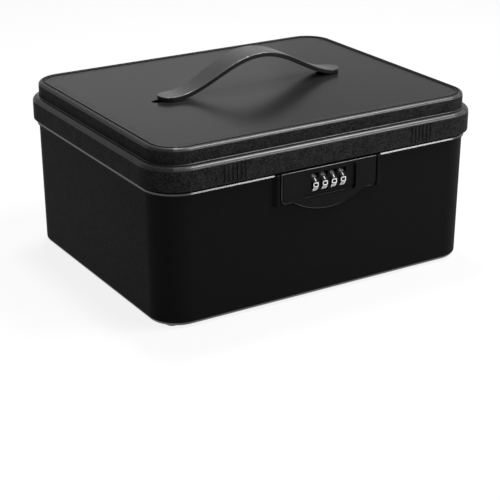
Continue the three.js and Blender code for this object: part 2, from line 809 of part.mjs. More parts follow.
// Ten-sided number wheels, one flat facing forward, and a gated disc at the right of each
function codeWheel() {
  const wheel = barX(2 * wheelRadius, -wheelWidth / 2, wheelWidth / 2, 0, 0, wheelFacets);
  wheel.rotateX(Math.PI / 2 - Math.PI / wheelFacets);
  return cut(wheel, barX(shaftBore, -wheelWidth, wheelWidth, 0, 0));
}

function codeDisc() {
  const half = discThickness / 2;
  const radius = discDiameter / 2;
  const disc = barX(discDiameter, -half, half, 0, 0, discSides);
  const gate = discGateWidth / 2;
  return cut(
    disc,
    barX(shaftBore, -discThickness, discThickness, 0, 0),
    box(-discThickness, discThickness, radius - discGateDepth, radius + 1, -gate, gate),
  );
}

wheelPlaces.forEach((x, i) => {
  add(`code_wheel_${i + 1}`, codeWheel(), wheelPlastic, [x, wheelY, wheelZ]);
  add(`code_disc_${i + 1}`, codeDisc(), steel, [x + discShift, wheelY, wheelZ]);
});

// Leaf spring on the frame's back plate, with a finger behind each wheel
function detentSpring() {
  const back = frameBackY - seatGap;
  const base = box(
    frameLeftX + runGap,
    frameRightX - runGap,
    back - detentThickness,
    back,
    wheelZ - frameHalf,
    wheelZ - frameHalf + detentBaseHeight,
  );
  const half = detentFingerWidth / 2;
  const fingerBack = back - detentThickness / 2;
  const fingers = wheelPlaces.map((x) => box(
    x - half,
    x + half,
    wheelBackY + runGap,
    fingerBack,
    wheelZ - frameHalf + detentBaseHeight / 2,
    wheelZ + detentOverrun,
  ));
  return join(base, ...fingers);
}

add('detent_spring', detentSpring(), springSteel);

// Reset lever at the end of the shaft, its tab reaching out through the cover
const coverFrontY = wallInnerY(wheelZ - frameHalf - coverBelow) + seatGap;
const coverBackY = coverFrontY + coverReach;
const lever = box(
  leverX - leverThickness,
  leverX,
  wheelY - shaftDiameter / 2,
  coverBackY + leverTabReach,
  wheelZ - leverHeight / 2,
  wheelZ + leverHeight / 2,
);
add('reset_slider', lever, flapPlastic);

// Cover over the lock inside the tub, open at the top for the hooks
function lockCover() {
  const bottom = wheelZ - frameHalf - coverBelow;
  const top = skirtBottomZ - coverTopBelowSkirt;
  const inner = coverHalfWidth - coverWall;
  const shell = cut(
    box(-coverHalfWidth, coverHalfWidth, coverFrontY, coverBackY, bottom, top),
    box(-inner, inner, coverFrontY - 1, coverBackY - coverWall, bottom + coverWall, top + 1),
  );
  const earHalf = coverEarHeight / 2;
  const ears = [-1, 1].map((side) => {
    const [x0, x1] = side < 0
      ? [-coverHalfWidth - coverEar, -inner]
      : [inner, coverHalfWidth + coverEar];
    return box(x0, x1, coverFrontY, coverFrontY + coverWall, wheelZ - earHalf, wheelZ + earHalf);
  });
  const leverSlot = box(
    leverX - leverThickness - runGap,
    leverX + resetTravel + runGap,
    coverBackY - coverWall - 1,
    coverBackY + 1,
    wheelZ - leverHeight / 2 - runGap,
    wheelZ + leverHeight / 2 + runGap,
  );
  const screwHole = coverScrewDiameter + 2 * boreGap;
  const earBack = coverFrontY + coverWall;
  return cut(
    join(shell, ...ears),
    leverSlot,
    ...coverScrewPlaces.map(([x, z]) => barY(screwHole, coverFrontY - 1, earBack + 1, x, z)),
  );
}

add('lock_cover', lockCover(), bodyPlastic);
addScrews(
  'lock_cover_screw',
  coverScrewDiameter,
  coverScrewHead,
  coverScrewHeadHeight,
  screwTipY(wheelZ),
  coverFrontY + coverWall,
  coverScrewPlaces,
);

// Striker plate screwed to the lid's front, hanging inside the tub with a slot for each hook
const strikerFrontY = hookFrontY - strikerPlay - strikerThickness;
const strikerScrewPlaces = [[-strikerScrewOffset, strikerScrewZ], [strikerScrewOffset, strikerScrewZ]];

function striker() {
  const back = strikerFrontY + strikerThickness;
  const bottom = shoulderUndersideZ - strikerDrop;
  const top = shoulderUndersideZ + strikerRise;
  const plate = box(-strikerHalfWidth, strikerHalfWidth, strikerFrontY, back, bottom, top);
  const slots = [-1, 1].map((side) => box(
    side * armOffset - armSlotHalf,
    side * armOffset + armSlotHalf,
    strikerFrontY - 1,
    back + 1,
    toothBottomZ - strikerToothPlay,
    hookTopZ,
  ));
  const screwHole = coverScrewDiameter + 2 * boreGap;
  const holes = strikerScrewPlaces.map(([x, z]) => barY(screwHole, strikerFrontY - 1, back + 1, x, z));
  return cut(plate, ...slots, ...holes);
}

add('striker', striker(), steel);

const tierInnerY = tierInset + lidWall - halfDepth;
addScrews(
  'striker_screw',
  coverScrewDiameter,
  coverScrewHead,
  coverScrewHeadHeight,
  tierInnerY - lidWall + wallSkin + runGap,
  strikerFrontY + strikerThickness,
  strikerScrewPlaces,
);

// The carry strap: a leaf-shaped band along X, flat at its ends and arched between them
const strapBottomZ = panelZ + seatGap;
const strapHalf = strapLength / 2;
const clipPlaces = [-1, 1].map((side) => strapOffset + side * (strapHalf - clipFromTip));

function strapMiddleZ(u) {
  const flat = strapBottomZ + strapThickness / 2;
  const arch = Math.abs(u) < strapArchHalf ? (1 + Math.cos(Math.PI * u / strapArchHalf)) / 2 : 0;
  return flat + strapRise * arch;
}

function strapHalfWidth(u) {
  const bulge = (1 + Math.cos(Math.PI * u / strapHalf)) / 2;
  const half = (strapEndWidth + (strapMiddleWidth - strapEndWidth) * bulge) / 2;
  const endRadius = strapEndWidth / 2;
  const intoEnd = Math.max(0, Math.abs(u) - (strapHalf - endRadius)) / endRadius;
  return half * Math.sqrt(Math.max(0.02, 1 - intoEnd ** 2));
}

function carryStrap() {
  const rows = [];
  for (let step = 0; step <= strapSteps; step += 1) {
    const u = -strapHalf * Math.cos(Math.PI * step / strapSteps);
    const small = 0.01;
    const slope = Math.atan2(strapMiddleZ(u + small) - strapMiddleZ(u - small), 2 * small);
    const half = strapHalfWidth(u);
    const edge = Math.min(strapEdge, half / 2);
    const thick = strapThickness / 2;
    const section = [
      [half - edge, thick],
      [half, thick - edge],
      [half, edge - thick],
      [half - edge, -thick],
      [edge - half, -thick],
      [-half, edge - thick],
      [-half, thick - edge],
      [edge - half, thick],
    ];
    rows.push(section.map(([across, up]) => new THREE.Vector3(
      strapOffset + u - up * Math.sin(slope),
      across,
      strapMiddleZ(u) + up * Math.cos(slope),
    )));
  }
  const socketTop = strapBottomZ + clipSocketDepth;
  const sockets = clipPlaces.map((x) => (
    barZ(clipDiameter + 2 * boreGap, strapBottomZ - 1, socketTop, x, 0)
  ));
  return cut(skin(rows.reverse()), ...sockets);
}

add('carry_strap', carryStrap(), strapPlastic);

// Clips: a post up through the slot into the strap, and a wide head under the lid
function strapClip() {
  const headTop = lidUndersideZ - seatGap;
  const postTop = strapBottomZ + clipSocketDepth - boreGap;
  return join(
    barZ(clipHeadDiameter, headTop - clipHeadThickness, headTop, 0, 0, discSides),
    barZ(clipDiameter, headTop - clipHeadThickness / 2, postTop, 0, 0),
  );
}

add('strap_clip_left', strapClip(), flapPlastic, [clipPlaces[0], 0, 0]);
add('strap_clip_right', strapClip(), flapPlastic, [clipPlaces[1], 0, 0]);

export default lockBox;
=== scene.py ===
import math

import bmesh
import bpy
from bpy.props import FloatProperty, FloatVectorProperty, IntProperty, PointerProperty
from bpy.types import NodeSocket, Operator, Panel, PropertyGroup
from mathutils import Matrix, Vector


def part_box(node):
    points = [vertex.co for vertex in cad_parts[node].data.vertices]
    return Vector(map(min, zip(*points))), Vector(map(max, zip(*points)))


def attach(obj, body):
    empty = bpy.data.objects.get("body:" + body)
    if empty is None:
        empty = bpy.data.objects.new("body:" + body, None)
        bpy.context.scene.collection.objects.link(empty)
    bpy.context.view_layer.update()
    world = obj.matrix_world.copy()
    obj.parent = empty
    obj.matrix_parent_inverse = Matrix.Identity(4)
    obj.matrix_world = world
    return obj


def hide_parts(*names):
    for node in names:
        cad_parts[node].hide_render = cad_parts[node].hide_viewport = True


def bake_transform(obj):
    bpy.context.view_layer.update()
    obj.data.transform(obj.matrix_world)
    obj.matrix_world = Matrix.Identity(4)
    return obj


bl_info = {
    "name": "Medication lock box",
    "version": (1, 0, 0),
    "blender": (4, 5, 0),
    "location": "View3D > Sidebar > Lock Box",
    "description": "A moulded lock box with a hinged lid, a four-wheel number lock and a carry strap",
    "category": "Add Mesh",
}

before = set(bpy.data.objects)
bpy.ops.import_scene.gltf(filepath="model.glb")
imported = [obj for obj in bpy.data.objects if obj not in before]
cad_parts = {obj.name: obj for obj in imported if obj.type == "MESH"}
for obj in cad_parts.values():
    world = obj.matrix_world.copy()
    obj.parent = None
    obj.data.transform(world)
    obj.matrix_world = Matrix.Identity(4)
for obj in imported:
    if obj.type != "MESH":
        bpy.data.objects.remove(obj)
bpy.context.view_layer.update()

MM = 0.001


def mm(*lengths):
    """Lengths given in millimetres."""
    return tuple(each * MM for each in lengths)


# Points nearer to each other than this, in metres, count as one place
CLOSE = 0.00004
# How squarely a face looks along an axis: a block's side, a flat, and a rounded edge
SIDE = 0.9
FLAT = 0.99
ROUNDED = (0.17, 0.985)

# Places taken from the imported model, in metres
lid_low, lid_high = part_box("lid_shell")
tub_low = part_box("base_tub")[0]
flap_low, flap_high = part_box("latch_flap")
wheel_low, wheel_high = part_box("code_wheel_1")
strap_low, strap_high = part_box("carry_strap")
pin_low, pin_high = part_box("hinge_pin_right")
BOX_HALF = Vector((lid_high.x, -lid_low.y))
FLAP_FACE = flap_low.y
FLAP_TOP = 109.5 * MM
HINGE = ((pin_low.y + pin_high.y) / 2, (pin_low.z + pin_high.z) / 2)
WHEEL_NAMES = ("code_wheel_1", "code_wheel_2", "code_wheel_3", "code_wheel_4")
WHEEL_Z = (wheel_low.z + wheel_high.z) / 2
STRAP_MIDDLE = (strap_low.x + strap_high.x) / 2
STRAP_HALF = (strap_high.x - strap_low.x) / 2

# Hinge knuckles: half lengths from the middle of each hinge, and radii
HINGE_MIDDLE = 95 * MM
LID_KNUCKLE = 8 * MM
TUB_KNUCKLE = mm(8.4, 16.4)
BORE_HALF = 18 * MM
KNUCKLE_RADIUS = 2.6 * MM
KNUCKLE_ROOM = 3.05 * MM
PIN_BORE = 1.5 * MM

# The tub round its lock: what is cut and added there
WALL_FACE = -117.1 * MM
BEFORE_WALL = -125 * MM
BEHIND_WALL = -110.5 * MM
BEAD_GAP = 49.1 * MM
BEAD_LEVELS = mm(105.5, 110.8)
FIELD_GAP = 44.7 * MM
FIELD_LEVELS = mm(103, 112)
FIELD_DEPTH = 0.6 * MM
CHEEK_SIDES = mm(45.2, 51.6)
CHEEK_LEVELS = mm(84, 109)
CHEEK_SLOPE = 4 * MM
LUG_SIDES = (mm(-33, -31.8), mm(-28.2, -27), mm(27, 28.2), mm(31.8, 33))
LUG_DEPTH = mm(-115, -107.9)
LUG_LEVELS = mm(100.6, 107.4)
WHEEL_WINDOW = (mm(-17.75, 20.65), mm(86.96, 103.64))
SHAFT_WINDOW = (mm(-25.9, 22.05), mm(92.4, 98.2))
ARM_SLOT = mm(28.2, 31.8)
ARM_LEVELS = mm(98.5, 109.5)
PIVOT_BORE = mm(20, 40)
PIVOT = mm(-110, 104)
ARM_SIDES = mm(28, 32)

# The slots in the lid for the strap's ends
SLOT_LENGTH = 22 * MM
SLOT_WIDTH = 7 * MM
SLOT_ROUND = 3.49 * MM
SLOT_MIDDLE = 78.4 * MM
SLOT_HALF_DEPTH = 4 * MM

# The number wheels and the thin raised paint of their digits
FACETS = 10
WHEEL_RIDGE = 0.9 * MM
WHEEL_SINK = 0.25 * MM
WHEEL_ROUND = 0.18 * MM
PAINT_DEPTH = 0.12 * MM
PAINT_PROUD = 0.05 * MM
STROKE_ROUND = 0.45


def linear(hex_code):
    """The linear colour of an sRGB hex code."""
    parts = [int(hex_code[i:i + 2], 16) / 255 for i in (1, 3, 5)]
    return tuple(p / 12.92 if p <= 0.04045 else ((p + 0.055) / 1.055) ** 2.4 for p in parts) + (1.0,)


def length(label, about, millimetres):
    """A size that a user may change, given in millimetres and kept in metres."""
    return FloatProperty(
        name=label, description=about, default=millimetres * MM, min=0.0, unit="LENGTH", precision=5
    )


def colour(label, about, hex_code):
    """A colour that a user may change."""
    return FloatVectorProperty(
        name=label, description=about, default=linear(hex_code), size=4, subtype="COLOR", min=0.0, max=1.0
    )


def settings(group):
    """One group of the scene's settings."""
    return getattr(bpy.context.scene, "lock_box_" + group)


class LidSizes(PropertyGroup):
    corner_radius: length("Corner radius", "Radius of the box's upright corners", 30)
    skirt_bottom: length("Skirt bottom", "Height of the skirt's lower edge", 111.5)
    shoulder: length("Shoulder", "Height of the ledge between skirt and tier", 130.5)
    tier_inset: length("Tier inset", "How far the upper tier stands in from the skirt", 5.4)
    wall: length("Wall", "Thickness of the lid", 2.5)
    tier_wall: length("Tier wall", "Thickness of the tier's side", 1.9)
    shoulder_round: length("Shoulder round", "Radius along the top of the skirt", 4)
    tier_round: length("Tier round", "Radius along the top of the tier", 3)
    rim_width: length("Rim width", "From the tier's side to the fine groove round the top", 3.4)
    line_width: length("Line width", "Width of the fine groove round the top", 1.6)
    line_depth: length("Line depth", "Depth of that groove", 0.8)
    rim_inside: length("Rim inside", "Width of the rim inside that groove", 0.7)
    grained_border: length("Grained border", "Width of the grained band round the smooth panel", 7)
    panel_recess: length("Panel recess", "How deep the middle panel is sunk", 0.7)
    groove_offset: length("Groove offset", "From the middle to each group of grooves", 86)
    groove_pitch: length("Groove pitch", "From one groove to the next", 3.65)
    groove_width: length("Groove width", "Width of one groove", 1.2)
    groove_depth: length("Groove depth", "Depth of one groove", 0.6)
    groove_height: length("Groove height", "Height of one groove", 13.2)
    groove_count: IntProperty(name="Grooves", description="Grooves in each group", default=6, min=1, max=12)


class TubSizes(PropertyGroup):
    inset: length("Inset", "How far the tub's wall stands in from the skirt", 4.4)
    draft: length("Draft", "How much narrower the tub is at the bottom, each side", 1)
    wall: length("Wall", "Thickness of the tub", 2.5)
    bottom_round: length("Bottom round", "Radius along the bottom edge", 4)
    bead_proud: length("Bead", "How far the bead under the skirt stands out", 1.5)
    bead_top: length("Bead top", "Height of the bead's upper edge", 109.2)
    bead_height: length("Bead height", "Height of the bead", 3)
    bead_slope: length("Bead slope", "How far the upper part of the bead's face leans in", 0.55)
    bead_sloped: length("Bead sloped height", "Height of that leaning part", 1.3)
    rim: length("Rim", "Height of the tub's rim", 127.2)


class LockSizes(PropertyGroup):
    flap_round: length("Flap round", "Radius along the flap's outer edge", 0.8)
    lip_width: length("Lip width", "Width of the raised lip round the flap", 1.1)
    lobe_blend: length("Lobe blend", "Radius where the lobe meets the ears", 2.6)
    lip_height: length("Lip height", "How far the lip stands out", 0.6)
    ear_height: length("Ear height", "Height of the flap beside the lobe", 25)
    ear_round: length("Ear round", "Radius of the flap's lower corners", 4.5)
    lobe_radius: length("Lobe radius", "Radius of the round lobe under the flap", 60.5)
    pocket_depth: length("Pocket depth", "From the flap's lip to the floor of its pocket", 1.2)
    pocket_slope: length("Pocket slope", "How far the pocket's walls slope in", 0.3)
    pocket_width: length("Pocket width", "Width of the pocket", 48)
    pocket_low: length("Pocket below", "From the wheels' middle to the pocket's lower edge", 9.2)
    pocket_high: length("Pocket above", "From the wheels' middle to the pocket's upper edge", 11.9)
    pocket_round: length("Pocket round", "Corner radius of the pocket", 3)
    slot_width: length("Slot width", "Width of each wheel's slot", 6.3)
    slot_low: length("Slot below", "From the wheels' middle to the slots' lower ends", 6.3)
    slot_high: length("Slot above", "From the wheels' middle to the slots' upper ends", 9.2)
    digit_width: length("Digit width", "Width of the digits, over their strokes", 4.6)
    digit_height: length("Digit height", "Height of the digits, over their strokes", 3.7)
    digit_stroke: length("Digit stroke", "Width of the digits' strokes", 0.7)


class StrapSizes(PropertyGroup):
    thickness: length("Thickness", "Thickness of the strap", 3.8)
    middle_width: length("Middle width", "Width at the top of the arch", 25.6)
    end_width: length("End width", "Width at the ends", 18)
    arch_half: length("Half arch", "From the top of the arch to where it lies flat", 76)
    rise: length("Rise", "Height of the arch", 25.8)
    arch_shift: length("Arch shift", "How far the top of the arch stands right of the strap's middle", 3)
    fullness: FloatProperty(
        name="Fullness", description="Under 1 the arch has fuller flanks than a cosine",
        default=0.88, min=0.5, max=2,
    )
    edge_round: length("Edge round", "Radius along the strap's edges", 0.7)


class LockBoxColours(PropertyGroup):
    lid: colour("Lid", "Grained plastic of the lid", "#202021")
    panel: colour("Panel", "Smooth plastic of the sunk panel", "#1e1e1f")
    tub: colour("Tub", "Textured plastic of the tub", "#0f0f10")
    flap: colour("Flap", "Satin plastic of the flap", "#131314")
    wheel: colour("Wheels", "Plastic of the number wheels", "#161617")
    strap: colour("Strap", "Soft plastic of the strap", "#1c1c1d")
    digits: colour("Digits", "Paint of the digits", "#f2f2f0")
    rubber: colour("Feet", "Rubber of the feet", "#141414")
    zinc: colour("Steel", "Zinc-plated steel", "#b4b6b8")
    spring: colour("Springs", "Spring steel", "#8f9193")
    floor: colour("Floor", "Pale studio floor", "#f4f4f4")


# Selecting and shaping

def deselect():
    """Leave edit mode and select nothing."""
    if bpy.context.object and bpy.context.object.mode != "OBJECT":
        bpy.ops.object.mode_set(mode="OBJECT")
    bpy.ops.object.select_all(action="DESELECT")


def pick(piece):
    """Select one piece alone and make it the active one."""
    deselect()
    piece.select_set(True)
    bpy.context.view_layer.objects.active = piece


def edit(piece):
    """Open one piece in edit mode with nothing selected."""
    pick(piece)
    bpy.ops.object.mode_set(mode="EDIT")
    bpy.ops.mesh.select_all(action="DESELECT")


def take_all():
    """Select all of the open piece."""
    bpy.ops.mesh.select_all(action="SELECT")


def drop(piece):
    """Remove a helper piece."""
    bpy.data.objects.remove(piece, do_unlink=True)


def apply_place():
    """Write the active piece's place and size into its mesh."""
    bpy.ops.object.transform_apply(location=True, rotation=True, scale=True)


def apply_modifier(piece, kind, **values):
    """Shape a piece with a modifier and apply it."""
    pick(piece)
    modifier = piece.modifiers.new(kind.lower(), kind)
    for key, value in values.items():
        setattr(modifier, key, value)
    bpy.ops.object.modifier_apply(modifier=modifier.name)


def pick_faces(piece, test):
    """Select the faces whose middle and normal pass the test."""
    bpy.ops.mesh.select_mode(type="FACE")
    bpy.ops.mesh.select_all(action="DESELECT")
    mesh = bmesh.from_edit_mesh(piece.data)
    for face in mesh.faces:
        if test(face.calc_center_median(), face.normal):
            face.select_set(True)
    bmesh.update_edit_mesh(piece.data)


def pick_edges(piece, test):
    """Select the edges whose two ends pass the test."""
    bpy.ops.mesh.select_mode(type="EDGE")
    bpy.ops.mesh.select_all(action="DESELECT")
    mesh = bmesh.from_edit_mesh(piece.data)
    for edge in mesh.edges:
        if test(edge.verts[0].co, edge.verts[1].co):
            edge.select_set(True)
    bmesh.update_edit_mesh(piece.data)


def pick_points(piece, test):
    """Select the points whose place passes the test."""
    mesh = bmesh.from_edit_mesh(piece.data)
    for vert in mesh.verts:
        vert.select_set(test(vert.co))
    bmesh.update_edit_mesh(piece.data)


def both(test):
    """A test of an edge that both its ends have to pass."""
    return lambda a, b: test(a) and test(b)


def step_in(inset, rise=0.0):
    """Draw the selected face in by an inset, and move it up or down."""
    bpy.ops.mesh.inset(thickness=inset, depth=0, use_even_offset=True)
    if rise:
        bpy.ops.transform.translate(value=(0, 0, rise))


def pull(move):
    """Extrude what is selected."""
    bpy.ops.mesh.extrude_region_move(TRANSFORM_OT_translate={"value": move})


def bevel(radius, segments, kind="EDGES"):
    """Round what is selected."""
    bpy.ops.mesh.bevel(offset=radius, segments=segments, affect=kind, clamp_overlap=False)


def round_edges(piece, test, radius, segments):
    """Round the edges of a piece whose two ends pass the test."""
    edit(piece)
    pick_edges(piece, test)
    bevel(radius, segments)
    deselect()


def move(piece, way):
    """Move a piece's whole mesh."""
    edit(piece)
    take_all()
    bpy.ops.transform.translate(value=way)
    deselect()


def turn_up(piece, degrees, middle):
    """Turn a piece's mesh about X through a point, so that its front lifts."""
    turn = Matrix.Rotation(-math.radians(degrees), 3, "X")
    for vert in piece.data.vertices:
        vert.co = turn @ (vert.co - middle) + middle


def face_outward(piece):
    """Make all faces of a piece look outward."""
    edit(piece)
    take_all()
    bpy.ops.mesh.normals_make_consistent(inside=False)
    deselect()


def cut_off(place, towards, fill=True):
    """Cut the open piece at a plane and drop the side that the direction points to."""
    take_all()
    bpy.ops.mesh.bisect(plane_co=place, plane_no=towards, clear_outer=True, use_fill=fill)


def tidy_flats(piece):
    """Dissolve the edges that a union leaves across flat faces."""
    edit(piece)
    take_all()
    bpy.ops.mesh.remove_doubles(threshold=0.002 * MM)
    bpy.ops.mesh.dissolve_limited(angle_limit=math.radians(0.05))
    deselect()


def inset_of(point):
    """How far a point lies inside the box's outline, a rounded rectangle."""
    radius = settings("lid").corner_radius
    over_x = abs(point.x) - (BOX_HALF.x - radius)
    over_y = abs(point.y) - (BOX_HALF.y - radius)
    if over_x > 0 and over_y > 0:
        return radius - math.hypot(over_x, over_y)
    return radius - max(over_x, over_y)


def round_outline(piece, inset, height, radius, segments):
    """Round the edge loop that runs along the outline at an inset and a height."""
    pick_edges(piece, both(lambda p: abs(p.z - height) < CLOSE and abs(inset_of(p) - inset) < CLOSE))
    bevel(radius, segments)


def round_outlines(piece, rows):
    """Round edge loops along the outline, each given as inset, height, radius and segments."""
    for row in rows:
        round_outline(piece, *row)
    deselect()


def pick_underside(piece, height):
    """Select the faces that look down at a height."""
    pick_faces(piece, lambda middle, normal: normal.z < -SIDE and abs(middle.z - height) < CLOSE)


def rounded_plate(name, width, depth, height, radius, segments):
    """A flat plate at a height, with its four corners bevelled round. It is left in edit mode, selected."""
    deselect()
    bpy.ops.mesh.primitive_plane_add(size=1)
    plate = bpy.context.object
    plate.name = name
    bpy.ops.object.mode_set(mode="EDIT")
    take_all()
    bpy.ops.transform.resize(value=(width, depth, 1))
    bpy.ops.transform.translate(value=(0, 0, height))
    bevel(radius, segments, "VERTICES")
    take_all()
    return plate


def outline_plate(name, inset, height, segments=24):
    """A plate with the box's outline, drawn in by an inset."""
    radius = settings("lid").corner_radius
    width = 2 * (BOX_HALF.x - inset)
    depth = 2 * (BOX_HALF.y - inset)
    return rounded_plate(name, width, depth, height, radius - inset, segments)


def block(x, y, z, name="block"):
    """A block between two values on each axis."""
    deselect()
    middle = [(low + high) / 2 for low, high in (x, y, z)]
    size = [high - low for low, high in (x, y, z)]
    bpy.ops.mesh.primitive_cube_add(size=1, location=middle, scale=size)
    made = bpy.context.object
    made.name = name
    apply_place()
    return made


def bar(axis, radius, ends, across, name="bar", sides=32):
    """A round bar along an axis, through a point on the two other axes."""
    deselect()
    turns = {"X": (0, math.pi / 2, 0), "Y": (math.pi / 2, 0, 0), "Z": (0, 0, 0)}
    place = list(across)
    place.insert("XYZ".index(axis), (ends[0] + ends[1]) / 2)
    long = abs(ends[1] - ends[0])
    bpy.ops.mesh.primitive_cylinder_add(
        vertices=sides, radius=radius, depth=long, location=place, rotation=turns[axis]
    )
    made = bpy.context.object
    made.name = name
    apply_place()
    return made


def join(pieces):
    """Join pieces into the first one."""
    deselect()
    for piece in pieces:
        piece.select_set(True)
    bpy.context.view_layer.objects.active = pieces[0]
    bpy.ops.object.join()
    return pieces[0]


def combine(piece, tool, operation):
    """Add a tool piece to a piece, or cut it out of it, and throw the tool away."""
    apply_modifier(piece, "BOOLEAN", operation=operation, solver="EXACT", object=tool)
    drop(tool)


def add(piece, tool):
    combine(piece, tool, "UNION")


def cut(piece, tool):
    combine(piece, tool, "DIFFERENCE")


def copy_of(piece, name):
    """A copy with a mesh of its own."""
    twin = piece.copy()
    twin.data = piece.data.copy()
    twin.name = name
    bpy.context.collection.objects.link(twin)
    return twin


def smooth(piece, degrees=32):
    """Shade round surfaces smooth, keep flats flat and keep true corners sharp."""
    pick(piece)
    bpy.ops.object.shade_smooth_by_angle(angle=math.radians(degrees))
    apply_modifier(piece, "WEIGHTED_NORMAL", keep_sharp=True)


def dress(piece, *names):
    """Give a piece its materials, in order."""
    piece.data.materials.clear()
    for name in names:
        piece.data.materials.append(MATERIALS[name])


def paint_faces(piece, index, test):
    """Give the faces that pass the test another of the piece's materials."""
    for face in piece.data.polygons:
        if test(Vector(face.center), Vector(face.normal)):
            face.material_index = index


def stand_in(piece, body, slot, *nodes):
    """Let a finished piece ride on its body and replace its CAD nodes; the slot is not used."""
    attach(piece, body)
    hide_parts(*nodes)


# Materials

def add_node(tree, kind, inputs=None, **values):
    """Add a node. An input that is a socket is linked, and any other is a value."""
    node = tree.nodes.new("ShaderNode" + kind)
    for key, value in values.items():
        setattr(node, key, value)
    for key, value in (inputs or {}).items():
        if isinstance(value, NodeSocket):
            tree.links.new(value, node.inputs[key])
        else:
            node.inputs[key].default_value = value
    return node


def new_material(name, **values):
    """A material with one Principled shader, whose uniform values are set on its own sockets."""
    material = bpy.data.materials.new(name)
    material.use_nodes = True
    tree = material.node_tree
    shader = tree.nodes["Principled BSDF"]
    for key, value in values.items():
        shader.inputs[key.replace("_", " ")].default_value = value
    return material, tree, shader


def noise(tree, grain, detail=2.0, stretch=None):
    """Noise whose grains are about that many metres wide."""
    place = add_node(tree, "TexCoord").outputs["Object"]
    if stretch:
        place = add_node(tree, "Mapping", {"Vector": place, "Scale": stretch}).outputs[0]
    made = add_node(tree, "TexNoise", {"Vector": place, "Scale": 1 / grain, "Detail": detail})
    return made.outputs["Fac"]


def spread(tree, value, low, high):
    """Turn noise into values from low to high."""
    made = add_node(
        tree,
        "MapRange",
        {"Value": value, "From Min": 0.3, "From Max": 0.7, "To Min": low, "To Max": high},
    )
    return made.outputs["Result"]


def shade(base, share):
    """A colour made lighter or darker by a share."""
    return [min(1.0, part * share) for part in base[:3]] + [1.0]


def mixed(tree, factor, low, high):
    """A colour between two, by a factor."""
    mix = add_node(tree, "Mix", {"Factor": factor}, data_type="RGBA")
    mix.inputs["A"].default_value = low
    mix.inputs["B"].default_value = high
    return mix.outputs["Result"]


def reckon(tree, operation, a, b):
    """The result of a calculation with two values."""
    return add_node(tree, "Math", {0: a, 1: b}, operation=operation).outputs[0]


def moulded(name, base, grain, depth, rough, level, grain_shading_contrast=0.3):
    """Plastic with painted shade in its grain's pits and a painted highlight on its crests, the grain in
    millimetres, with some random cloudy tone and an uneven gloss.
    """
    material, tree, shader = new_material(name, Specular_IOR_Level=level)
    grain *= MM
    height = noise(tree, grain, 3.0)
    cloud = noise(tree, 9 * grain, 3.0)
    pit_shade_and_cloud = add_node(tree, "Mix", {"Factor": 0.2, "A": height, "B": cloud}, data_type="FLOAT")
    painted_grain_shading = spread(tree, pit_shade_and_cloud.outputs["Result"], 0.0, 1.0)
    # The colour follows the bump's height, with painted shade in the pits and a painted highlight on the
    # crests; a fifth of it is random cloud
    tone = mixed(tree, painted_grain_shading, shade(base, 1 - grain_shading_contrast), shade(base, 1 + grain_shading_contrast))
    tree.links.new(tone, shader.inputs["Base Color"])
    gloss = spread(tree, noise(tree, 5 * grain), *rough)
    tree.links.new(gloss, shader.inputs["Roughness"])
    bump = add_node(tree, "Bump", {"Height": height, "Distance": depth * MM, "Strength": 1.0})
    tree.links.new(bump.outputs["Normal"], shader.inputs["Normal"])
    return material


def metal(name, base, grain, rough, stretch=None):
    """Plated or plain steel with fine marks, whose size is in millimetres."""
    material, tree, shader = new_material(name, Metallic=1.0)
    grain *= MM
    cloud = spread(tree, noise(tree, 6 * grain, 3.0, stretch), 0.0, 1.0)
    tree.links.new(mixed(tree, cloud, shade(base, 0.8), base), shader.inputs["Base Color"])
    gloss = spread(tree, noise(tree, 3 * grain, 2.0, stretch), *rough)
    tree.links.new(gloss, shader.inputs["Roughness"])
    bump = add_node(
        tree, "Bump", {"Height": noise(tree, grain, 2.0, stretch), "Distance": 0.004 * MM}
    )
    tree.links.new(bump.outputs["Normal"], shader.inputs["Normal"])
    return material


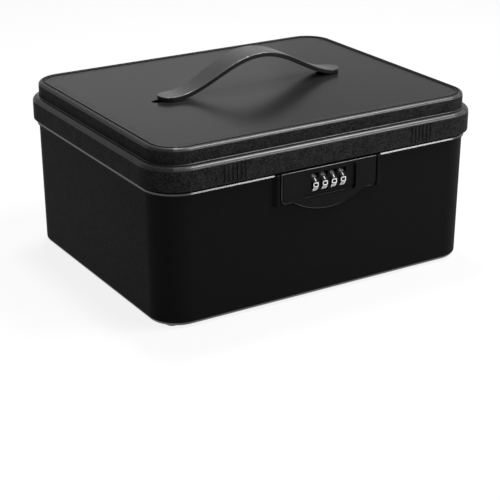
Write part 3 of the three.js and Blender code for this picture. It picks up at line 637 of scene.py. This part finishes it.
def make_materials():
    """All materials of the box, by name."""
    colours = settings("colours")
    return {
        # Lid: black polypropylene with an etched leather-like grain, its pits strongly painted in shade and
        # its crests painted lighter as highlight
        "lid": moulded("grained_lid_plastic", colours.lid, 1.05, 0.17, (0.45, 0.55), 0.012, 1.0),
        # Round edges of the lid: the same plastic, its grain rubbed to a satin gloss by hands
        "lid_edge": moulded("rubbed_lid_edges", colours.lid, 0.8, 0.012, (0.29, 0.33), 0.5),
        # Sunk panel of the lid: the same plastic, left nearly smooth
        "panel": moulded("satin_panel_plastic", colours.panel, 0.8, 0.004, (0.2, 0.23), 0.02, 0.1),
        # Rim of the lid and the band inside it: the same plastic, finely grained
        "border": moulded("grained_border_plastic", colours.panel, 1.2, 0.03, (0.3, 0.36), 0.03, 0.3),
        # Where the grain fades into the rubbed edges
        "soft_edge": moulded("half_rubbed_edges", colours.lid, 0.8, 0.03, (0.36, 0.42), 0.14),
        # Tub: the same plastic, darker, with a fine spark-eroded texture
        "tub": moulded("textured_tub_plastic", colours.tub, 0.45, 0.02, (0.5, 0.6), 0.025),
        # Bead and lower edge of the tub: the same plastic, rubbed
        "tub_edge": moulded("rubbed_tub_edges", colours.tub, 0.45, 0.006, (0.24, 0.28), 0.8),
        # Flap and cheeks: satin plastic
        "flap": moulded("satin_flap_plastic", colours.flap, 0.6, 0.02, (0.45, 0.55), 0.03),
        # Edges of the flap: the same plastic, rubbed by fingers
        "flap_edge": moulded("rubbed_flap_edges", colours.flap, 0.6, 0.005, (0.28, 0.33), 1.0),
        # Lower wall of the flap's pocket: the same plastic, a little worn by fingertips
        "flap_ridge": moulded("worn_flap_ridge", colours.flap, 0.6, 0.005, (0.3, 0.36), 0.12),
        # Number wheels: semi-gloss plastic
        "wheel": moulded("wheel_plastic", colours.wheel, 0.3, 0.006, (0.25, 0.3), 0.08),
        # Strap: soft thermoplastic with a satin skin
        "strap": moulded("soft_strap_plastic", colours.strap, 0.5, 0.012, (0.32, 0.4), 0.18),
        # Edges of the strap: the same plastic, polished by hands
        "strap_edge": moulded("polished_strap_edges", colours.strap, 0.5, 0.004, (0.22, 0.28), 0.9),
        # Paint in the digits
        "digits": moulded("white_digit_paint", colours.digits, 0.2, 0.004, (0.4, 0.55), 0.4),
        # Feet: black rubber
        "rubber": moulded("foot_rubber", colours.rubber, 0.4, 0.03, (0.75, 0.9), 0.3),
        # Pins, screws, striker, shaft and comb: zinc-plated steel
        "zinc": metal("bright_zinc_plate", colours.zinc, 0.35, (0.28, 0.42)),
        # Springs: drawn spring steel
        "spring": metal("drawn_spring_steel", colours.spring, 0.2, (0.3, 0.4), (1.0, 6.0, 6.0)),
    }


MATERIALS = {}


# The lid

def model_lid():
    """Skirt, shoulder, tier, narrow raised rim and sunk panel, hollow from below."""
    size = settings("lid")
    top = lid_high.z
    panel = top - size.panel_recess
    rim = size.tier_inset + size.rim_width
    inner_tier = size.tier_inset + size.tier_wall
    underside = panel - size.wall
    inner_shoulder = size.shoulder - size.wall
    lid = outline_plate("lid", 0.0, size.skirt_bottom)
    pull((0, 0, size.shoulder - size.skirt_bottom))
    step_in(size.tier_inset)
    pull((0, 0, top - size.shoulder))
    step_in(size.rim_width)
    pull((0, 0, -size.line_depth))
    step_in(size.line_width)
    pull((0, 0, size.line_depth))
    step_in(size.rim_inside)
    pull((0, 0, -size.panel_recess))
    step_in(size.grained_border)
    pick_underside(lid, size.skirt_bottom)
    step_in(size.wall)
    pull((0, 0, inner_shoulder - size.skirt_bottom))
    step_in(inner_tier - size.wall)
    pull((0, 0, underside - inner_shoulder))
    round_outlines(lid, (
        (0.0, size.shoulder, size.shoulder_round, 9),
        (size.tier_inset, top, size.tier_round, 9),
        (0.0, size.skirt_bottom, 0.6 * MM, 3),
        (rim, top, 0.25 * MM, 3),
        (rim + size.line_width, top, 0.2 * MM, 2),
        (rim + size.line_width + size.rim_inside, top, 0.25 * MM, 2),
        (size.tier_inset, size.shoulder, 0.7 * MM, 4),
        (size.wall, size.skirt_bottom, 0.4 * MM, 2),
        (size.wall, inner_shoulder, 1.0 * MM, 3),
        (inner_tier, inner_shoulder, 0.6 * MM, 2),
        (inner_tier, underside, 1.5 * MM, 3),
    ))
    cut_grooves(lid, size)
    cut_strap_slots(lid, panel)
    add_lid_knuckles(lid, size)
    return lid


def cut_grooves(lid, size):
    """Upright grooves in two groups in the front of the skirt, each a little wider at its mouth."""
    front = lid_low.y
    low = size.skirt_bottom + 1.8 * MM
    half = size.groove_width / 2
    mouth = (1.6, 1, 1.06)
    depths = (front - 0.5 * MM, front + size.groove_depth)
    groove = block((-half, half), depths, (low, low + size.groove_height))
    edit(groove)
    pick_faces(groove, lambda middle, normal: normal.y < -SIDE)
    bpy.ops.transform.resize(value=mouth)
    deselect()
    grooves = []
    for side in (-1, 1):
        for i in range(size.groove_count):
            place = side * size.groove_offset + (i - (size.groove_count - 1) / 2) * size.groove_pitch
            twin = copy_of(groove, "groove")
            twin.location.x = place
            grooves.append(twin)
    drop(groove)
    cut(lid, join(grooves))


def cut_strap_slots(lid, panel):
    """A round-ended slot under each end of the strap, with a softened mouth."""
    for side in (-1, 1):
        slot = rounded_plate("slot", SLOT_LENGTH, SLOT_WIDTH, panel - SLOT_HALF_DEPTH, SLOT_ROUND, 12)
        pull((0, 0, 2 * SLOT_HALF_DEPTH))
        move(slot, (side * SLOT_MIDDLE, 0, 0))
        cut(lid, slot)

    def on_mouth(p):
        along = abs(abs(p.x) - SLOT_MIDDLE) < SLOT_LENGTH / 2 + CLOSE
        return along and abs(p.y) < SLOT_WIDTH / 2 + CLOSE and abs(p.z - panel) < CLOSE

    round_edges(lid, both(on_mouth), 0.4 * MM, 3)


def add_lid_knuckles(lid, size):
    """The lid's half of each hinge: a knuckle on a short lug below the skirt."""
    for side in (-1, 1):
        ends = (side * HINGE_MIDDLE - LID_KNUCKLE, side * HINGE_MIDDLE + LID_KNUCKLE)
        lug = block(ends, (HINGE[0], BOX_HALF.y), (HINGE[1], size.skirt_bottom + 1.1 * MM))
        add(lug, bar("X", KNUCKLE_RADIUS, ends, HINGE))
        cut(lug, bar("X", PIN_BORE, (ends[0] - MM, ends[1] + MM), HINGE))
        add(lid, lug)


class LOCKBOX_OT_lid(Operator):
    """Model the lid with its skirt, tier, border, grooves, slots and hinge knuckles"""

    bl_idname = "lock_box.lid"
    bl_label = "Lid"

    def execute(self, context):
        size = settings("lid")
        lid = model_lid()
        smooth(lid)
        dress(lid, "lid", "panel", "lid_edge", "soft_edge", "border")
        panel = lid_high.z - size.panel_recess
        line = size.tier_inset + size.rim_width
        smooth_edge = line + size.line_width + size.rim_inside + size.grained_border

        def on_top(middle, normal):
            return normal.z > 0.25 and middle.z > size.skirt_bottom + 2 * MM

        def on_rubbed_edge(middle, normal):
            along_front_or_back = abs(normal.x) < 0.6 * abs(normal.y)
            return on_top(middle, normal) and 0.42 < normal.z < 0.95 and along_front_or_back

        def on_border(middle, normal):
            return normal.z > FLAT and middle.z > panel - CLOSE

        def on_smooth_panel(middle, normal):
            level = normal.z > FLAT and abs(middle.z - panel) < CLOSE
            return level and inset_of(middle) > smooth_edge - CLOSE

        def in_line(middle, normal):
            deep = panel > middle.z > panel - 0.5 * MM
            return deep and line < inset_of(middle) < line + size.line_width

        paint_faces(lid, 3, on_top)
        paint_faces(lid, 2, on_rubbed_edge)
        paint_faces(lid, 4, on_border)
        paint_faces(lid, 1, on_smooth_panel)
        paint_faces(lid, 0, in_line)
        stand_in(lid, "lid", "lid_plastic", "lid_shell")
        return {"FINISHED"}


# The tub

def model_tub():
    """A deep drafted tub with a bead under the skirt and a plain rim inside the lid."""
    size = settings("tub")
    lid = settings("lid")
    bead_inset = size.inset - size.bead_proud
    bead_low = size.bead_top - size.bead_height
    bead_edge = bead_low + size.bead_proud / 2
    bottom = tub_low.z
    floor = bottom + size.wall
    tall = lid.skirt_bottom - bottom
    below_bead = size.draft * (lid.skirt_bottom - bead_low) / tall
    tub = outline_plate("tub", bead_inset, bead_edge)
    pull((0, 0, size.bead_top - size.bead_sloped - bead_edge))
    step_in(size.bead_slope, size.bead_sloped)
    step_in(size.bead_proud - size.bead_slope)
    pull((0, 0, size.rim - size.bead_top))
    step_in(size.wall)
    pull((0, 0, lid.skirt_bottom - size.rim))
    step_in(size.draft, floor - lid.skirt_bottom)
    pick_underside(tub, bead_edge)
    step_in(size.bead_proud + below_bead, bead_low - bead_edge)
    step_in(size.draft - below_bead, bottom - bead_low)
    round_outlines(tub, (
        (size.inset + size.draft, bottom, size.bottom_round, 8),
        (bead_inset + size.bead_slope, size.bead_top, 0.2 * MM, 2),
        (bead_inset, bead_edge, 0.5 * MM, 3),
        (size.inset + below_bead, bead_low, 0.3 * MM, 2),
        (size.inset, size.rim, 0.6 * MM, 3),
        (size.inset + size.wall, size.rim, 0.6 * MM, 3),
        (size.inset + size.draft + size.wall, floor, 2.75 * MM, 5),
    ))
    shape_lock_area(tub)
    add_tub_knuckles(tub)
    return tub


def shape_lock_area(tub):
    """End the bead beside the flap, add the cheeks, and open the wall for wheels, shaft and arms."""
    cut(tub, block((-BEAD_GAP, BEAD_GAP), (BEFORE_WALL, WALL_FACE), BEAD_LEVELS))
    cut(tub, block((-FIELD_GAP, FIELD_GAP), (BEFORE_WALL, WALL_FACE + FIELD_DEPTH), FIELD_LEVELS))
    for side in (-1, 1):
        near, far = (side * place for place in CHEEK_SIDES)
        cheek = block(sorted((near, far)), (FLAP_FACE, WALL_FACE + MM), CHEEK_LEVELS, "cheek")
        outer = both(lambda p: abs(p.x - far) < CLOSE and p.y < WALL_FACE)
        round_edges(cheek, outer, CHEEK_SLOPE - CLOSE, 1)
        round_edges(cheek, both(lambda p: p.y < WALL_FACE - MM), 0.35 * MM, 3)
        add(tub, cheek)
    for sides in LUG_SIDES:
        add(tub, block(sides, LUG_DEPTH, LUG_LEVELS))
    deep = (BEFORE_WALL, BEHIND_WALL)
    for sides, levels in (WHEEL_WINDOW, SHAFT_WINDOW):
        cut(tub, block(sides, deep, levels))
    for side in (-1, 1):
        slot = sorted(side * place for place in ARM_SLOT)
        cut(tub, block(slot, deep, ARM_LEVELS))
        cut(tub, bar("X", PIN_BORE, sorted(side * place for place in PIVOT_BORE), PIVOT))


def add_tub_knuckles(tub):
    """The tub's half of each hinge, and the room that the lid's knuckles turn in."""
    near, far = TUB_KNUCKLE
    for side in (-1, 1):
        middle = side * HINGE_MIDDLE
        for low, high in ((-far, -near), (near, far)):
            add(tub, bar("X", KNUCKLE_RADIUS, (middle + low, middle + high), HINGE))
        cut(tub, bar("X", KNUCKLE_ROOM, (middle - near, middle + near), HINGE))
        cut(tub, bar("X", PIN_BORE, (middle - BORE_HALF, middle + BORE_HALF), HINGE))


class LOCKBOX_OT_tub(Operator):
    """Model the tub with its bead, lock cheeks, lock window and hinge knuckles"""

    bl_idname = "lock_box.tub"
    bl_label = "Tub"

    def execute(self, context):
        tub = model_tub()
        smooth(tub)
        dress(tub, "tub", "tub_edge")
        size = settings("tub")

        def on_rubbed_edge(middle, normal):
            on_bead = abs(middle.z - size.bead_top) < 1.5 * MM and inset_of(middle) < size.inset - CLOSE
            on_bottom = middle.z < tub_low.z + size.bottom_round and ROUNDED[0] < -normal.z < ROUNDED[1]
            return on_bottom or (on_bead and normal.z > ROUNDED[0])

        paint_faces(tub, 1, on_rubbed_edge)
        stand_in(tub, "base", "body_plastic", "base_tub")
        return {"FINISHED"}


class LOCKBOX_OT_feet(Operator):
    """Model the four round rubber feet"""

    bl_idname = "lock_box.feet"
    bl_label = "Feet"

    def execute(self, context):
        for node in ("foot_front_left", "foot_front_right", "foot_rear_left", "foot_rear_right"):
            low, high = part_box(node)
            middle = (low + high) / 2
            foot = bar("Z", (high.x - low.x) / 2, (low.z, high.z), (middle.x, middle.y), "rubber_" + node, 48)
            edit(foot)
            pick_edges(foot, both(lambda p: abs(p.z - low.z) < CLOSE))
            bevel(0.5 * MM, 4)
            pick_faces(foot, lambda middle, normal: normal.z < -FLAT)
            step_in(2 * MM)
            step_in(0.3 * MM, 0.3 * MM)
            deselect()
            smooth(foot)
            dress(foot, "rubber")
            stand_in(foot, "base", "foot_rubber", node)
        return {"FINISHED"}


# The flap

def flap_plate(name, size, inward, front, back):
    """A plate of the flap's outline, drawn in by a distance: square on top, rounded ears, a shallow lobe."""
    half = flap_high.x - inward
    ear = FLAP_TOP - size.ear_height + inward
    plate = block((-half, half), (front, back), (ear, FLAP_TOP - inward), name)

    def on_ear(a, b):
        return abs(a.z - ear) < CLOSE and abs(b.z - ear) < CLOSE and abs(a.x - b.x) < CLOSE

    round_edges(plate, on_ear, size.ear_round - inward, 10)
    radius = size.lobe_radius - inward
    lobe_middle = flap_low.z + size.lobe_radius
    lobe = bar("Y", radius, (front, back), (0, lobe_middle), "lobe", 360)
    edit(lobe)
    cut_off((0, 0, ear + 6 * MM), (0, 0, 1))
    deselect()
    add(plate, lobe)
    tidy_flats(plate)
    meet = math.sqrt(radius ** 2 - (lobe_middle - ear) ** 2)

    def where_they_meet(a, b):
        near = both(lambda p: abs(abs(p.x) - meet) < 0.4 * MM and abs(p.z - ear) < 0.3 * MM)
        return near(a, b) and abs(a.y - b.y) > MM

    round_edges(plate, where_they_meet, size.lobe_blend + inward, 8)
    return plate


def model_flap():
    """The flap's plate with a raised lip, a pocket, four slots and two arms."""
    size = settings("lock")
    back = FLAP_FACE + 2.2 * MM
    flap = flap_plate("flap", size, 0.0, FLAP_FACE, back)
    round_edges(flap, both(lambda p: p.y < FLAP_FACE + CLOSE), size.flap_round, 5)
    floor = FLAP_FACE + size.lip_height
    face = flap_plate("face", size, size.lip_width, FLAP_FACE - MM, floor)
    round_edges(face, both(lambda p: p.y > floor - CLOSE), size.lip_height, 3)
    cut(flap, face)
    cut_pocket(flap, size)
    add_arms(flap, back)
    return flap


def cut_pocket(flap, size):
    """The pocket round the wheels, with a sloped wall, and a slot with a softened mouth for each wheel."""
    low = WHEEL_Z - size.pocket_low
    high = WHEEL_Z + size.pocket_high
    floor = FLAP_FACE + size.pocket_depth
    pocket = rounded_plate("pocket", size.pocket_width, high - low, 0, size.pocket_round, 8)
    width = size.pocket_width + 2 * size.pocket_slope
    height = high - low + 2 * size.pocket_slope
    pull((0, 0, size.pocket_depth))
    bpy.ops.transform.resize(value=(width / size.pocket_width, height / (high - low), 1))
    pull((0, 0, MM))
    take_all()
    bpy.ops.transform.rotate(value=-math.pi / 2, orient_axis="X", center_override=(0, 0, 0))
    move(pocket, (0, floor, (low + high) / 2))
    cut(flap, pocket)
    slots = []
    slot_z = (WHEEL_Z - size.slot_low, WHEEL_Z + size.slot_high)
    for node in WHEEL_NAMES:
        a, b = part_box(node)
        middle = (a.x + b.x) / 2
        slot_x = (middle - size.slot_width / 2, middle + size.slot_width / 2)
        slot = block(slot_x, (FLAP_FACE - MM, FLAP_FACE + 4 * MM), slot_z, "slot")
        round_edges(slot, lambda a, b: abs(a.y - b.y) > MM, 0.35 * MM, 3)
        slots.append(slot)
    cut(flap, join(slots))

    def on_mouth(p):
        beside = abs(p.x) < size.pocket_width / 2 - 2 * MM
        return beside and abs(p.y - floor) < CLOSE and slot_z[0] - CLOSE < p.z < slot_z[1] + CLOSE

    round_edges(flap, both(on_mouth), 0.2 * MM, 2)


def add_arms(flap, back):
    """The two arms with their hooks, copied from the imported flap."""
    arms = copy_of(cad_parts["latch_flap"], "arms")
    arms.parent = None
    edit(arms)
    take_all()
    bpy.ops.mesh.remove_doubles(threshold=0.002 * MM)
    cut_off((0, back - 0.2 * MM, 0), (0, -1, 0))
    bpy.ops.mesh.select_all(action="DESELECT")
    pick_points(arms, lambda p: not ARM_SIDES[0] <= abs(p.x) <= ARM_SIDES[1])
    bpy.ops.mesh.delete(type="VERT")
    deselect()
    add(flap, arms)


class LOCKBOX_OT_flap(Operator):
    """Model the latch flap with its pocket, wheel slots, arms and hooks"""

    bl_idname = "lock_box.flap"
    bl_label = "Flap"

    def execute(self, context):
        flap = model_flap()
        smooth(flap)
        dress(flap, "flap", "flap_edge", "flap_ridge")
        size = settings("lock")
        low = WHEEL_Z - size.pocket_low - size.pocket_slope
        high = WHEEL_Z + size.pocket_high + size.pocket_slope

        def on_rubbed_edge(middle, normal):
            beside = abs(middle.x) > size.pocket_width / 2 + size.pocket_slope
            outside = beside or not low < middle.z < high
            upright = abs(normal.x) > 0.5
            rounded = ROUNDED[0] < -normal.y < ROUNDED[1]
            return rounded and middle.y < FLAP_FACE + 1.5 * MM and outside and not upright

        def on_ridge(middle, normal):
            return low - CLOSE < middle.z < low + MM and normal.z > 0.3 and -normal.y > ROUNDED[0]

        paint_faces(flap, 2, on_ridge)
        paint_faces(flap, 1, on_rubbed_edge)
        stand_in(flap, "latch", "flap_plastic", "latch_flap")
        return {"FINISHED"}


# The number wheels

# Strokes of each digit, on a grid that is 2 wide and 4 tall. A closed stroke ends where it starts
DIGIT_STROKES = {
    0: [((0, 0), (2, 0), (2, 4), (0, 4), (0, 0))],
    1: [((1.12, 0), (0.88, 4))],
    2: [((0, 4), (2, 4), (2, 2), (0, 2), (0, 0), (2, 0))],
    3: [((0, 4), (2, 4), (2, 0), (0, 0)), ((0.4, 2), (2, 2))],
    4: [((0, 4), (0, 1.6), (2, 1.6)), ((1.5, 4), (1.5, 0))],
    5: [((2, 4), (0, 4), (0, 2), (2, 2), (2, 0), (0, 0))],
    6: [((2, 4), (0, 4), (0, 0), (2, 0), (2, 2), (0, 2))],
    7: [((0, 4), (2, 4), (0.9, 0))],
    8: [((0, 0), (2, 0), (2, 4), (0, 4), (0, 0)), ((0, 2), (2, 2))],
    9: [((0, 0), (2, 0), (2, 4), (0, 4), (0, 2), (2, 2))],
}


def model_stroke(size, points):
    """One stroke of a digit: a wire drawn by extruding a point, pulled to a ribbon and thickened."""
    closed = points[0] == points[-1]
    if closed:
        points = points[:-1]
    wide = (size.digit_width - size.digit_stroke) / 2
    tall = (size.digit_height - size.digit_stroke) / 4
    places = [Vector(((x - 1) * wide, 0, (z - 2) * tall)) for x, z in points]
    deselect()
    bpy.ops.mesh.primitive_plane_add(size=1)
    stroke = bpy.context.object
    bpy.ops.object.mode_set(mode="EDIT")
    take_all()
    bpy.ops.mesh.merge(type="CENTER")
    bpy.ops.mesh.select_mode(type="VERT")
    take_all()
    bpy.ops.transform.translate(value=places[0])
    for start, end in zip(places, places[1:]):
        bpy.ops.mesh.extrude_vertices_move(TRANSFORM_OT_translate={"value": end - start})
    if closed:
        pick_points(stroke, lambda p: min((p - places[0]).length, (p - places[-1]).length) < CLOSE)
        bpy.ops.mesh.edge_face_add()
    take_all()
    pull((0, PAINT_DEPTH, 0))
    pick_edges(stroke, lambda a, b: abs(a.y - b.y) > PAINT_DEPTH / 2)
    mesh = bmesh.from_edit_mesh(stroke.data)
    for edge in mesh.edges:
        if edge.select and len(edge.link_faces) < 2:
            edge.select_set(False)
    bmesh.update_edit_mesh(stroke.data)
    bevel(min(wide, tall) * STROKE_ROUND, 4)
    deselect()
    apply_modifier(stroke, "SOLIDIFY", thickness=size.digit_stroke, offset=0, use_even_offset=True)
    face_outward(stroke)
    return stroke


def model_digit(size, digit, middle, face):
    """One digit as thin raised paint on the wheel's facet, turned to its place."""
    strokes = [model_stroke(size, points) for points in DIGIT_STROKES[digit]]
    made = strokes[0]
    for stroke in strokes[1:]:
        add(made, stroke)
    move(made, (middle.x, face - PAINT_PROUD, middle.z))
    turn_up(made, digit * 360 / FACETS, middle)
    return made


def model_wheel():
    """One ten-sided wheel, its facets sunk a little between narrow ridges, and all ten digits."""
    size = settings("lock")
    middle = (wheel_low + wheel_high) / 2
    radius = (wheel_high.y - wheel_low.y) / 2 / math.cos(math.pi / FACETS)
    wheel = bar("X", radius, (wheel_low.x, wheel_high.x), middle.yz, "wheel", FACETS)
    turn_up(wheel, 180 / FACETS, middle)
    edit(wheel)
    pick_faces(wheel, lambda place, normal: abs(normal.x) > SIDE)
    step_in(WHEEL_RIDGE)
    bpy.ops.mesh.extrude_region_shrink_fatten(TRANSFORM_OT_shrink_fatten={"value": -WHEEL_SINK})
    pick_edges(wheel, both(lambda p: (p.yz - middle.yz).length > radius - 0.1 * MM))
    bevel(WHEEL_ROUND, 3)
    deselect()
    digits = join([model_digit(size, digit, middle, wheel_low.y) for digit in DIGIT_STROKES])
    return wheel, digits


class LOCKBOX_OT_wheels(Operator):
    """Model the four number wheels with their digits"""

    bl_idname = "lock_box.wheels"
    bl_label = "Number wheels"

    def execute(self, context):
        wheel, digits = model_wheel()
        smooth(wheel, 20)
        smooth(digits, 40)
        dress(wheel, "wheel")
        dress(digits, "digits")
        first = wheel_low.x
        for number, node in enumerate(WHEEL_NAMES, 1):
            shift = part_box(node)[0].x - first
            turner = copy_of(wheel, f"number_wheel_{number}")
            paint = copy_of(digits, f"wheel_digits_{number}")
            for piece in (turner, paint):
                piece.location.x = shift
                pick(piece)
                apply_place()
            stand_in(turner, f"wheel_{number}", "wheel_plastic", node)
            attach(paint, f"wheel_{number}")
        drop(wheel)
        drop(digits)
        return {"FINISHED"}


# The strap

def strap_shape(size, u):
    """Height of the strap's middle line and half its width, at a place along it."""
    from_top = min(1.0, abs(u - size.arch_shift) / size.arch_half)
    arch = ((1 + math.cos(math.pi * from_top)) / 2) ** size.fullness
    bulge = (1 + math.cos(math.pi * u / STRAP_HALF)) / 2
    width = (size.end_width + (size.middle_width - size.end_width) * bulge) / 2
    end = size.end_width / 2
    into = min(1.0, max(0.0, abs(u) - (STRAP_HALF - end)) / end)
    height = strap_low.z + size.thickness / 2 + size.rise * arch
    return height, width * math.sqrt(max(0.0, 1 - into * into))


def model_strap(steps=96):
    """A band made of rows of its section along the arch, closer together where it is parted."""
    size = settings("strap")
    top = size.arch_shift
    places = [-STRAP_HALF * math.cos(math.pi * i / steps) for i in range(steps + 1)]
    places = [u for u in places if abs(u - top) > 1.2 * MM]
    places += [top + offset * MM for offset in (-0.6, -0.2, 0, 0.2, 0.6)]
    last = STRAP_HALF - 0.02 * MM
    rows = []
    for u in sorted(places):
        u = max(-last, min(last, u))
        height, width = strap_shape(size, u)
        ahead, _ = strap_shape(size, u + 0.1 * MM)
        behind, _ = strap_shape(size, u - 0.1 * MM)
        rows.append((u, height, max(width, 0.3 * MM), math.atan2(ahead - behind, 0.2 * MM)))
    section = strap_section(size)
    mesh = bpy.data.meshes.new("strap")
    verts, faces = [], []
    count = len(section)
    for u, height, width, slope in rows:
        for across, up in section:
            side = math.copysign(max(0.0, width - across[1]), across[0]) if across[0] else 0.0
            verts.append((STRAP_MIDDLE + u - up * math.sin(slope), side, height + up * math.cos(slope)))
    for row in range(len(rows) - 1):
        for i in range(count):
            here = row * count + i
            after = row * count + (i + 1) % count
            faces.append((here, after, after + count, here + count))
    faces.append(tuple(range(count)))
    faces.append(tuple(range(len(verts) - 1, len(verts) - 1 - count, -1)))
    mesh.from_pydata(verts, [], faces)
    strap = bpy.data.objects.new("strap", mesh)
    bpy.context.collection.objects.link(strap)
    face_outward(strap)
    return strap


def strap_section(size, steps=5):
    """The band's section: side, distance in from the edge, and height, all the way round."""
    thick = size.thickness / 2
    edge = size.edge_round
    points = []
    for side, start in ((1, 0), (-1, 2)):
        for quarter in (0, 1):
            for i in range(steps + 1):
                angle = math.pi / 2 * (start + quarter - 1 + i / steps)
                inward = edge * (1 - abs(math.cos(angle)))
                upward = (thick - edge) * (1 if math.sin(angle) > 0 or (quarter and start == 0) else -1)
                level = upward + edge * math.sin(angle)
                points.append(((side, inward), level))
    return points


class LOCKBOX_OT_strap(Operator):
    """Model the arched carry strap in two halves that meet at its top"""

    bl_idname = "lock_box.strap"
    bl_label = "Carry strap"

    def execute(self, context):
        size = settings("strap")
        top = STRAP_MIDDLE + size.arch_shift
        strap = model_strap()
        smooth(strap, 40)
        dress(strap, "strap", "strap_edge")
        paint_faces(strap, 1, lambda middle, normal: abs(normal.y) > 0.25 and 0.3 < normal.z < 0.93)
        for name, side in (("strap_left_half", -1), ("strap_right_half", 1)):
            part = copy_of(strap, name)
            edit(part)
            cut_off((top, 0, 0), (-side, 0, 0), fill=False)
            deselect()
            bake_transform(part)
            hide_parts("carry_strap")
        drop(strap)
        return {"FINISHED"}


class LOCKBOX_OT_inner_parts(Operator):
    """Give the pins, springs, screws, plates, shaft, discs and clips their materials"""

    bl_idname = "lock_box.inner_parts"
    bl_label = "Inner parts"

    def execute(self, context):
        finishes = {"body_plastic": "tub", "foot_rubber": "rubber"}
        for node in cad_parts.values():
            slot = node.data.materials[0].name.split(".")[0]
            dress(node, finishes.get(slot, slot.split("_")[0]))
        return {"FINISHED"}


# The stage

def pale_floor(tone):
    """Floor that looks white to the camera and in reflections, and keeps the object's shadow."""
    material, tree, shader = new_material("pale_floor", Roughness=0.9, Specular_IOR_Level=0.1)
    shader.inputs["Base Color"].default_value = tone
    share = reckon(tree, "MULTIPLY", seen_ray(tree), 0.86)
    glow = add_node(tree, "Emission", {"Color": (1, 1, 1, 1), "Strength": 1.0}).outputs[0]
    mix = add_node(tree, "MixShader", {0: share, 1: shader.outputs[0], 2: glow})
    tree.links.new(mix.outputs[0], tree.nodes["Material Output"].inputs["Surface"])
    return material


def seen_ray(tree):
    """1 for rays from the camera and for reflected and refracted ones."""
    rays = add_node(tree, "LightPath").outputs
    first = reckon(tree, "MAXIMUM", rays["Is Camera Ray"], rays["Is Glossy Ray"])
    return reckon(tree, "MAXIMUM", first, rays["Is Transmission Ray"])


def softbox(name, place, target, width, height, radiance):
    """A rectangular studio lamp that faces a point."""
    light = bpy.data.lights.new(name, "AREA")
    light.shape = "RECTANGLE"
    light.size = width
    light.size_y = height
    light.energy = radiance * math.pi * width * height
    lamp = bpy.data.objects.new(name, light)
    bpy.context.collection.objects.link(lamp)
    lamp.location = place
    lamp.rotation_euler = (Vector(target) - Vector(place)).to_track_quat("-Z", "Y").to_euler()
    return lamp


class LOCKBOX_OT_stage(Operator):
    """Set the pale floor, the soft lamps, the world and the camera"""

    bl_idname = "lock_box.stage"
    bl_label = "Stage"

    def execute(self, context):
        scene = context.scene
        deselect()
        bpy.ops.mesh.primitive_plane_add(size=24)
        floor = context.object
        floor.name = "floor"
        MATERIALS["floor"] = pale_floor(settings("colours").floor)
        dress(floor, "floor")
        world = bpy.data.worlds.new("studio")
        scene.world = world
        world.use_nodes = True
        tree = world.node_tree
        back = tree.nodes["Background"]
        back.inputs["Color"].default_value = (1, 1, 1, 1)
        level = add_node(
            tree,
            "MapRange",
            {"Value": seen_ray(tree), "From Min": 0, "From Max": 1, "To Min": 0.15, "To Max": 1.0},
        )
        tree.links.new(level.outputs["Result"], back.inputs["Strength"])
        softbox("right_softbox", (0.7, -0.5, 1.28), (0, -0.1, 0.12), 0.55, 0.45, 20.0)
        softbox("overhead_softbox", (0.12, 0.34, 1.42), (-0.13, -0.1, 0.12), 0.3, 0.3, 50.0)
        softbox("low_softbox", (0.72, -1.13, 0.49), (0, -0.1, 0.1), 0.5, 0.3, 16.0)
        softbox("rear_softbox", (0.36, 0.95, 0.6), (-0.12, -0.09, 0.14), 0.5, 0.4, 0.8)
        data = bpy.data.cameras.new("camera")
        camera = bpy.data.objects.new("camera", data)
        scene.collection.objects.link(camera)
        data.sensor_width = 36
        data.lens = 102.73
        camera.location = (-0.59473, -0.96870, 0.47226)
        camera.rotation_euler = (math.radians(67.238), 0, math.radians(-31.628))
        scene.camera = camera
        scene.view_settings.view_transform = "Standard"
        return {"FINISHED"}


class LOCKBOX_PT_panel(Panel):
    """Buttons for each piece of the lock box"""

    bl_idname = "LOCKBOX_PT_panel"
    bl_label = "Lock Box"
    bl_space_type = "VIEW_3D"
    bl_region_type = "UI"
    bl_category = "Lock Box"

    def draw(self, context):
        for operator in OPERATORS:
            self.layout.operator(operator.bl_idname)
        for group in GROUPS:
            self.layout.label(text=group.capitalize())
            for key in GROUPS[group].__annotations__:
                self.layout.prop(settings(group), key)


OPERATORS = (
    LOCKBOX_OT_inner_parts,
    LOCKBOX_OT_tub,
    LOCKBOX_OT_feet,
    LOCKBOX_OT_lid,
    LOCKBOX_OT_flap,
    LOCKBOX_OT_wheels,
    LOCKBOX_OT_strap,
    LOCKBOX_OT_stage,
)
GROUPS = {
    "lid": LidSizes,
    "tub": TubSizes,
    "lock": LockSizes,
    "strap": StrapSizes,
    "colours": LockBoxColours,
}


def register():
    for group, kind in GROUPS.items():
        bpy.utils.register_class(kind)
        setattr(bpy.types.Scene, "lock_box_" + group, PointerProperty(type=kind))
    for operator in OPERATORS:
        bpy.utils.register_class(operator)
    bpy.utils.register_class(LOCKBOX_PT_panel)


def unregister():
    bpy.utils.unregister_class(LOCKBOX_PT_panel)
    for operator in reversed(OPERATORS):
        bpy.utils.unregister_class(operator)
    for group, kind in reversed(GROUPS.items()):
        delattr(bpy.types.Scene, "lock_box_" + group)
        bpy.utils.unregister_class(kind)


def main():
    """Build every piece in order."""
    register()
    MATERIALS.update(make_materials())
    bpy.ops.lock_box.inner_parts()
    bpy.ops.lock_box.tub()
    bpy.ops.lock_box.feet()
    bpy.ops.lock_box.lid()
    bpy.ops.lock_box.flap()
    bpy.ops.lock_box.wheels()
    bpy.ops.lock_box.strap()
    bpy.ops.lock_box.stage()


if __name__ == "__main__":
    main()
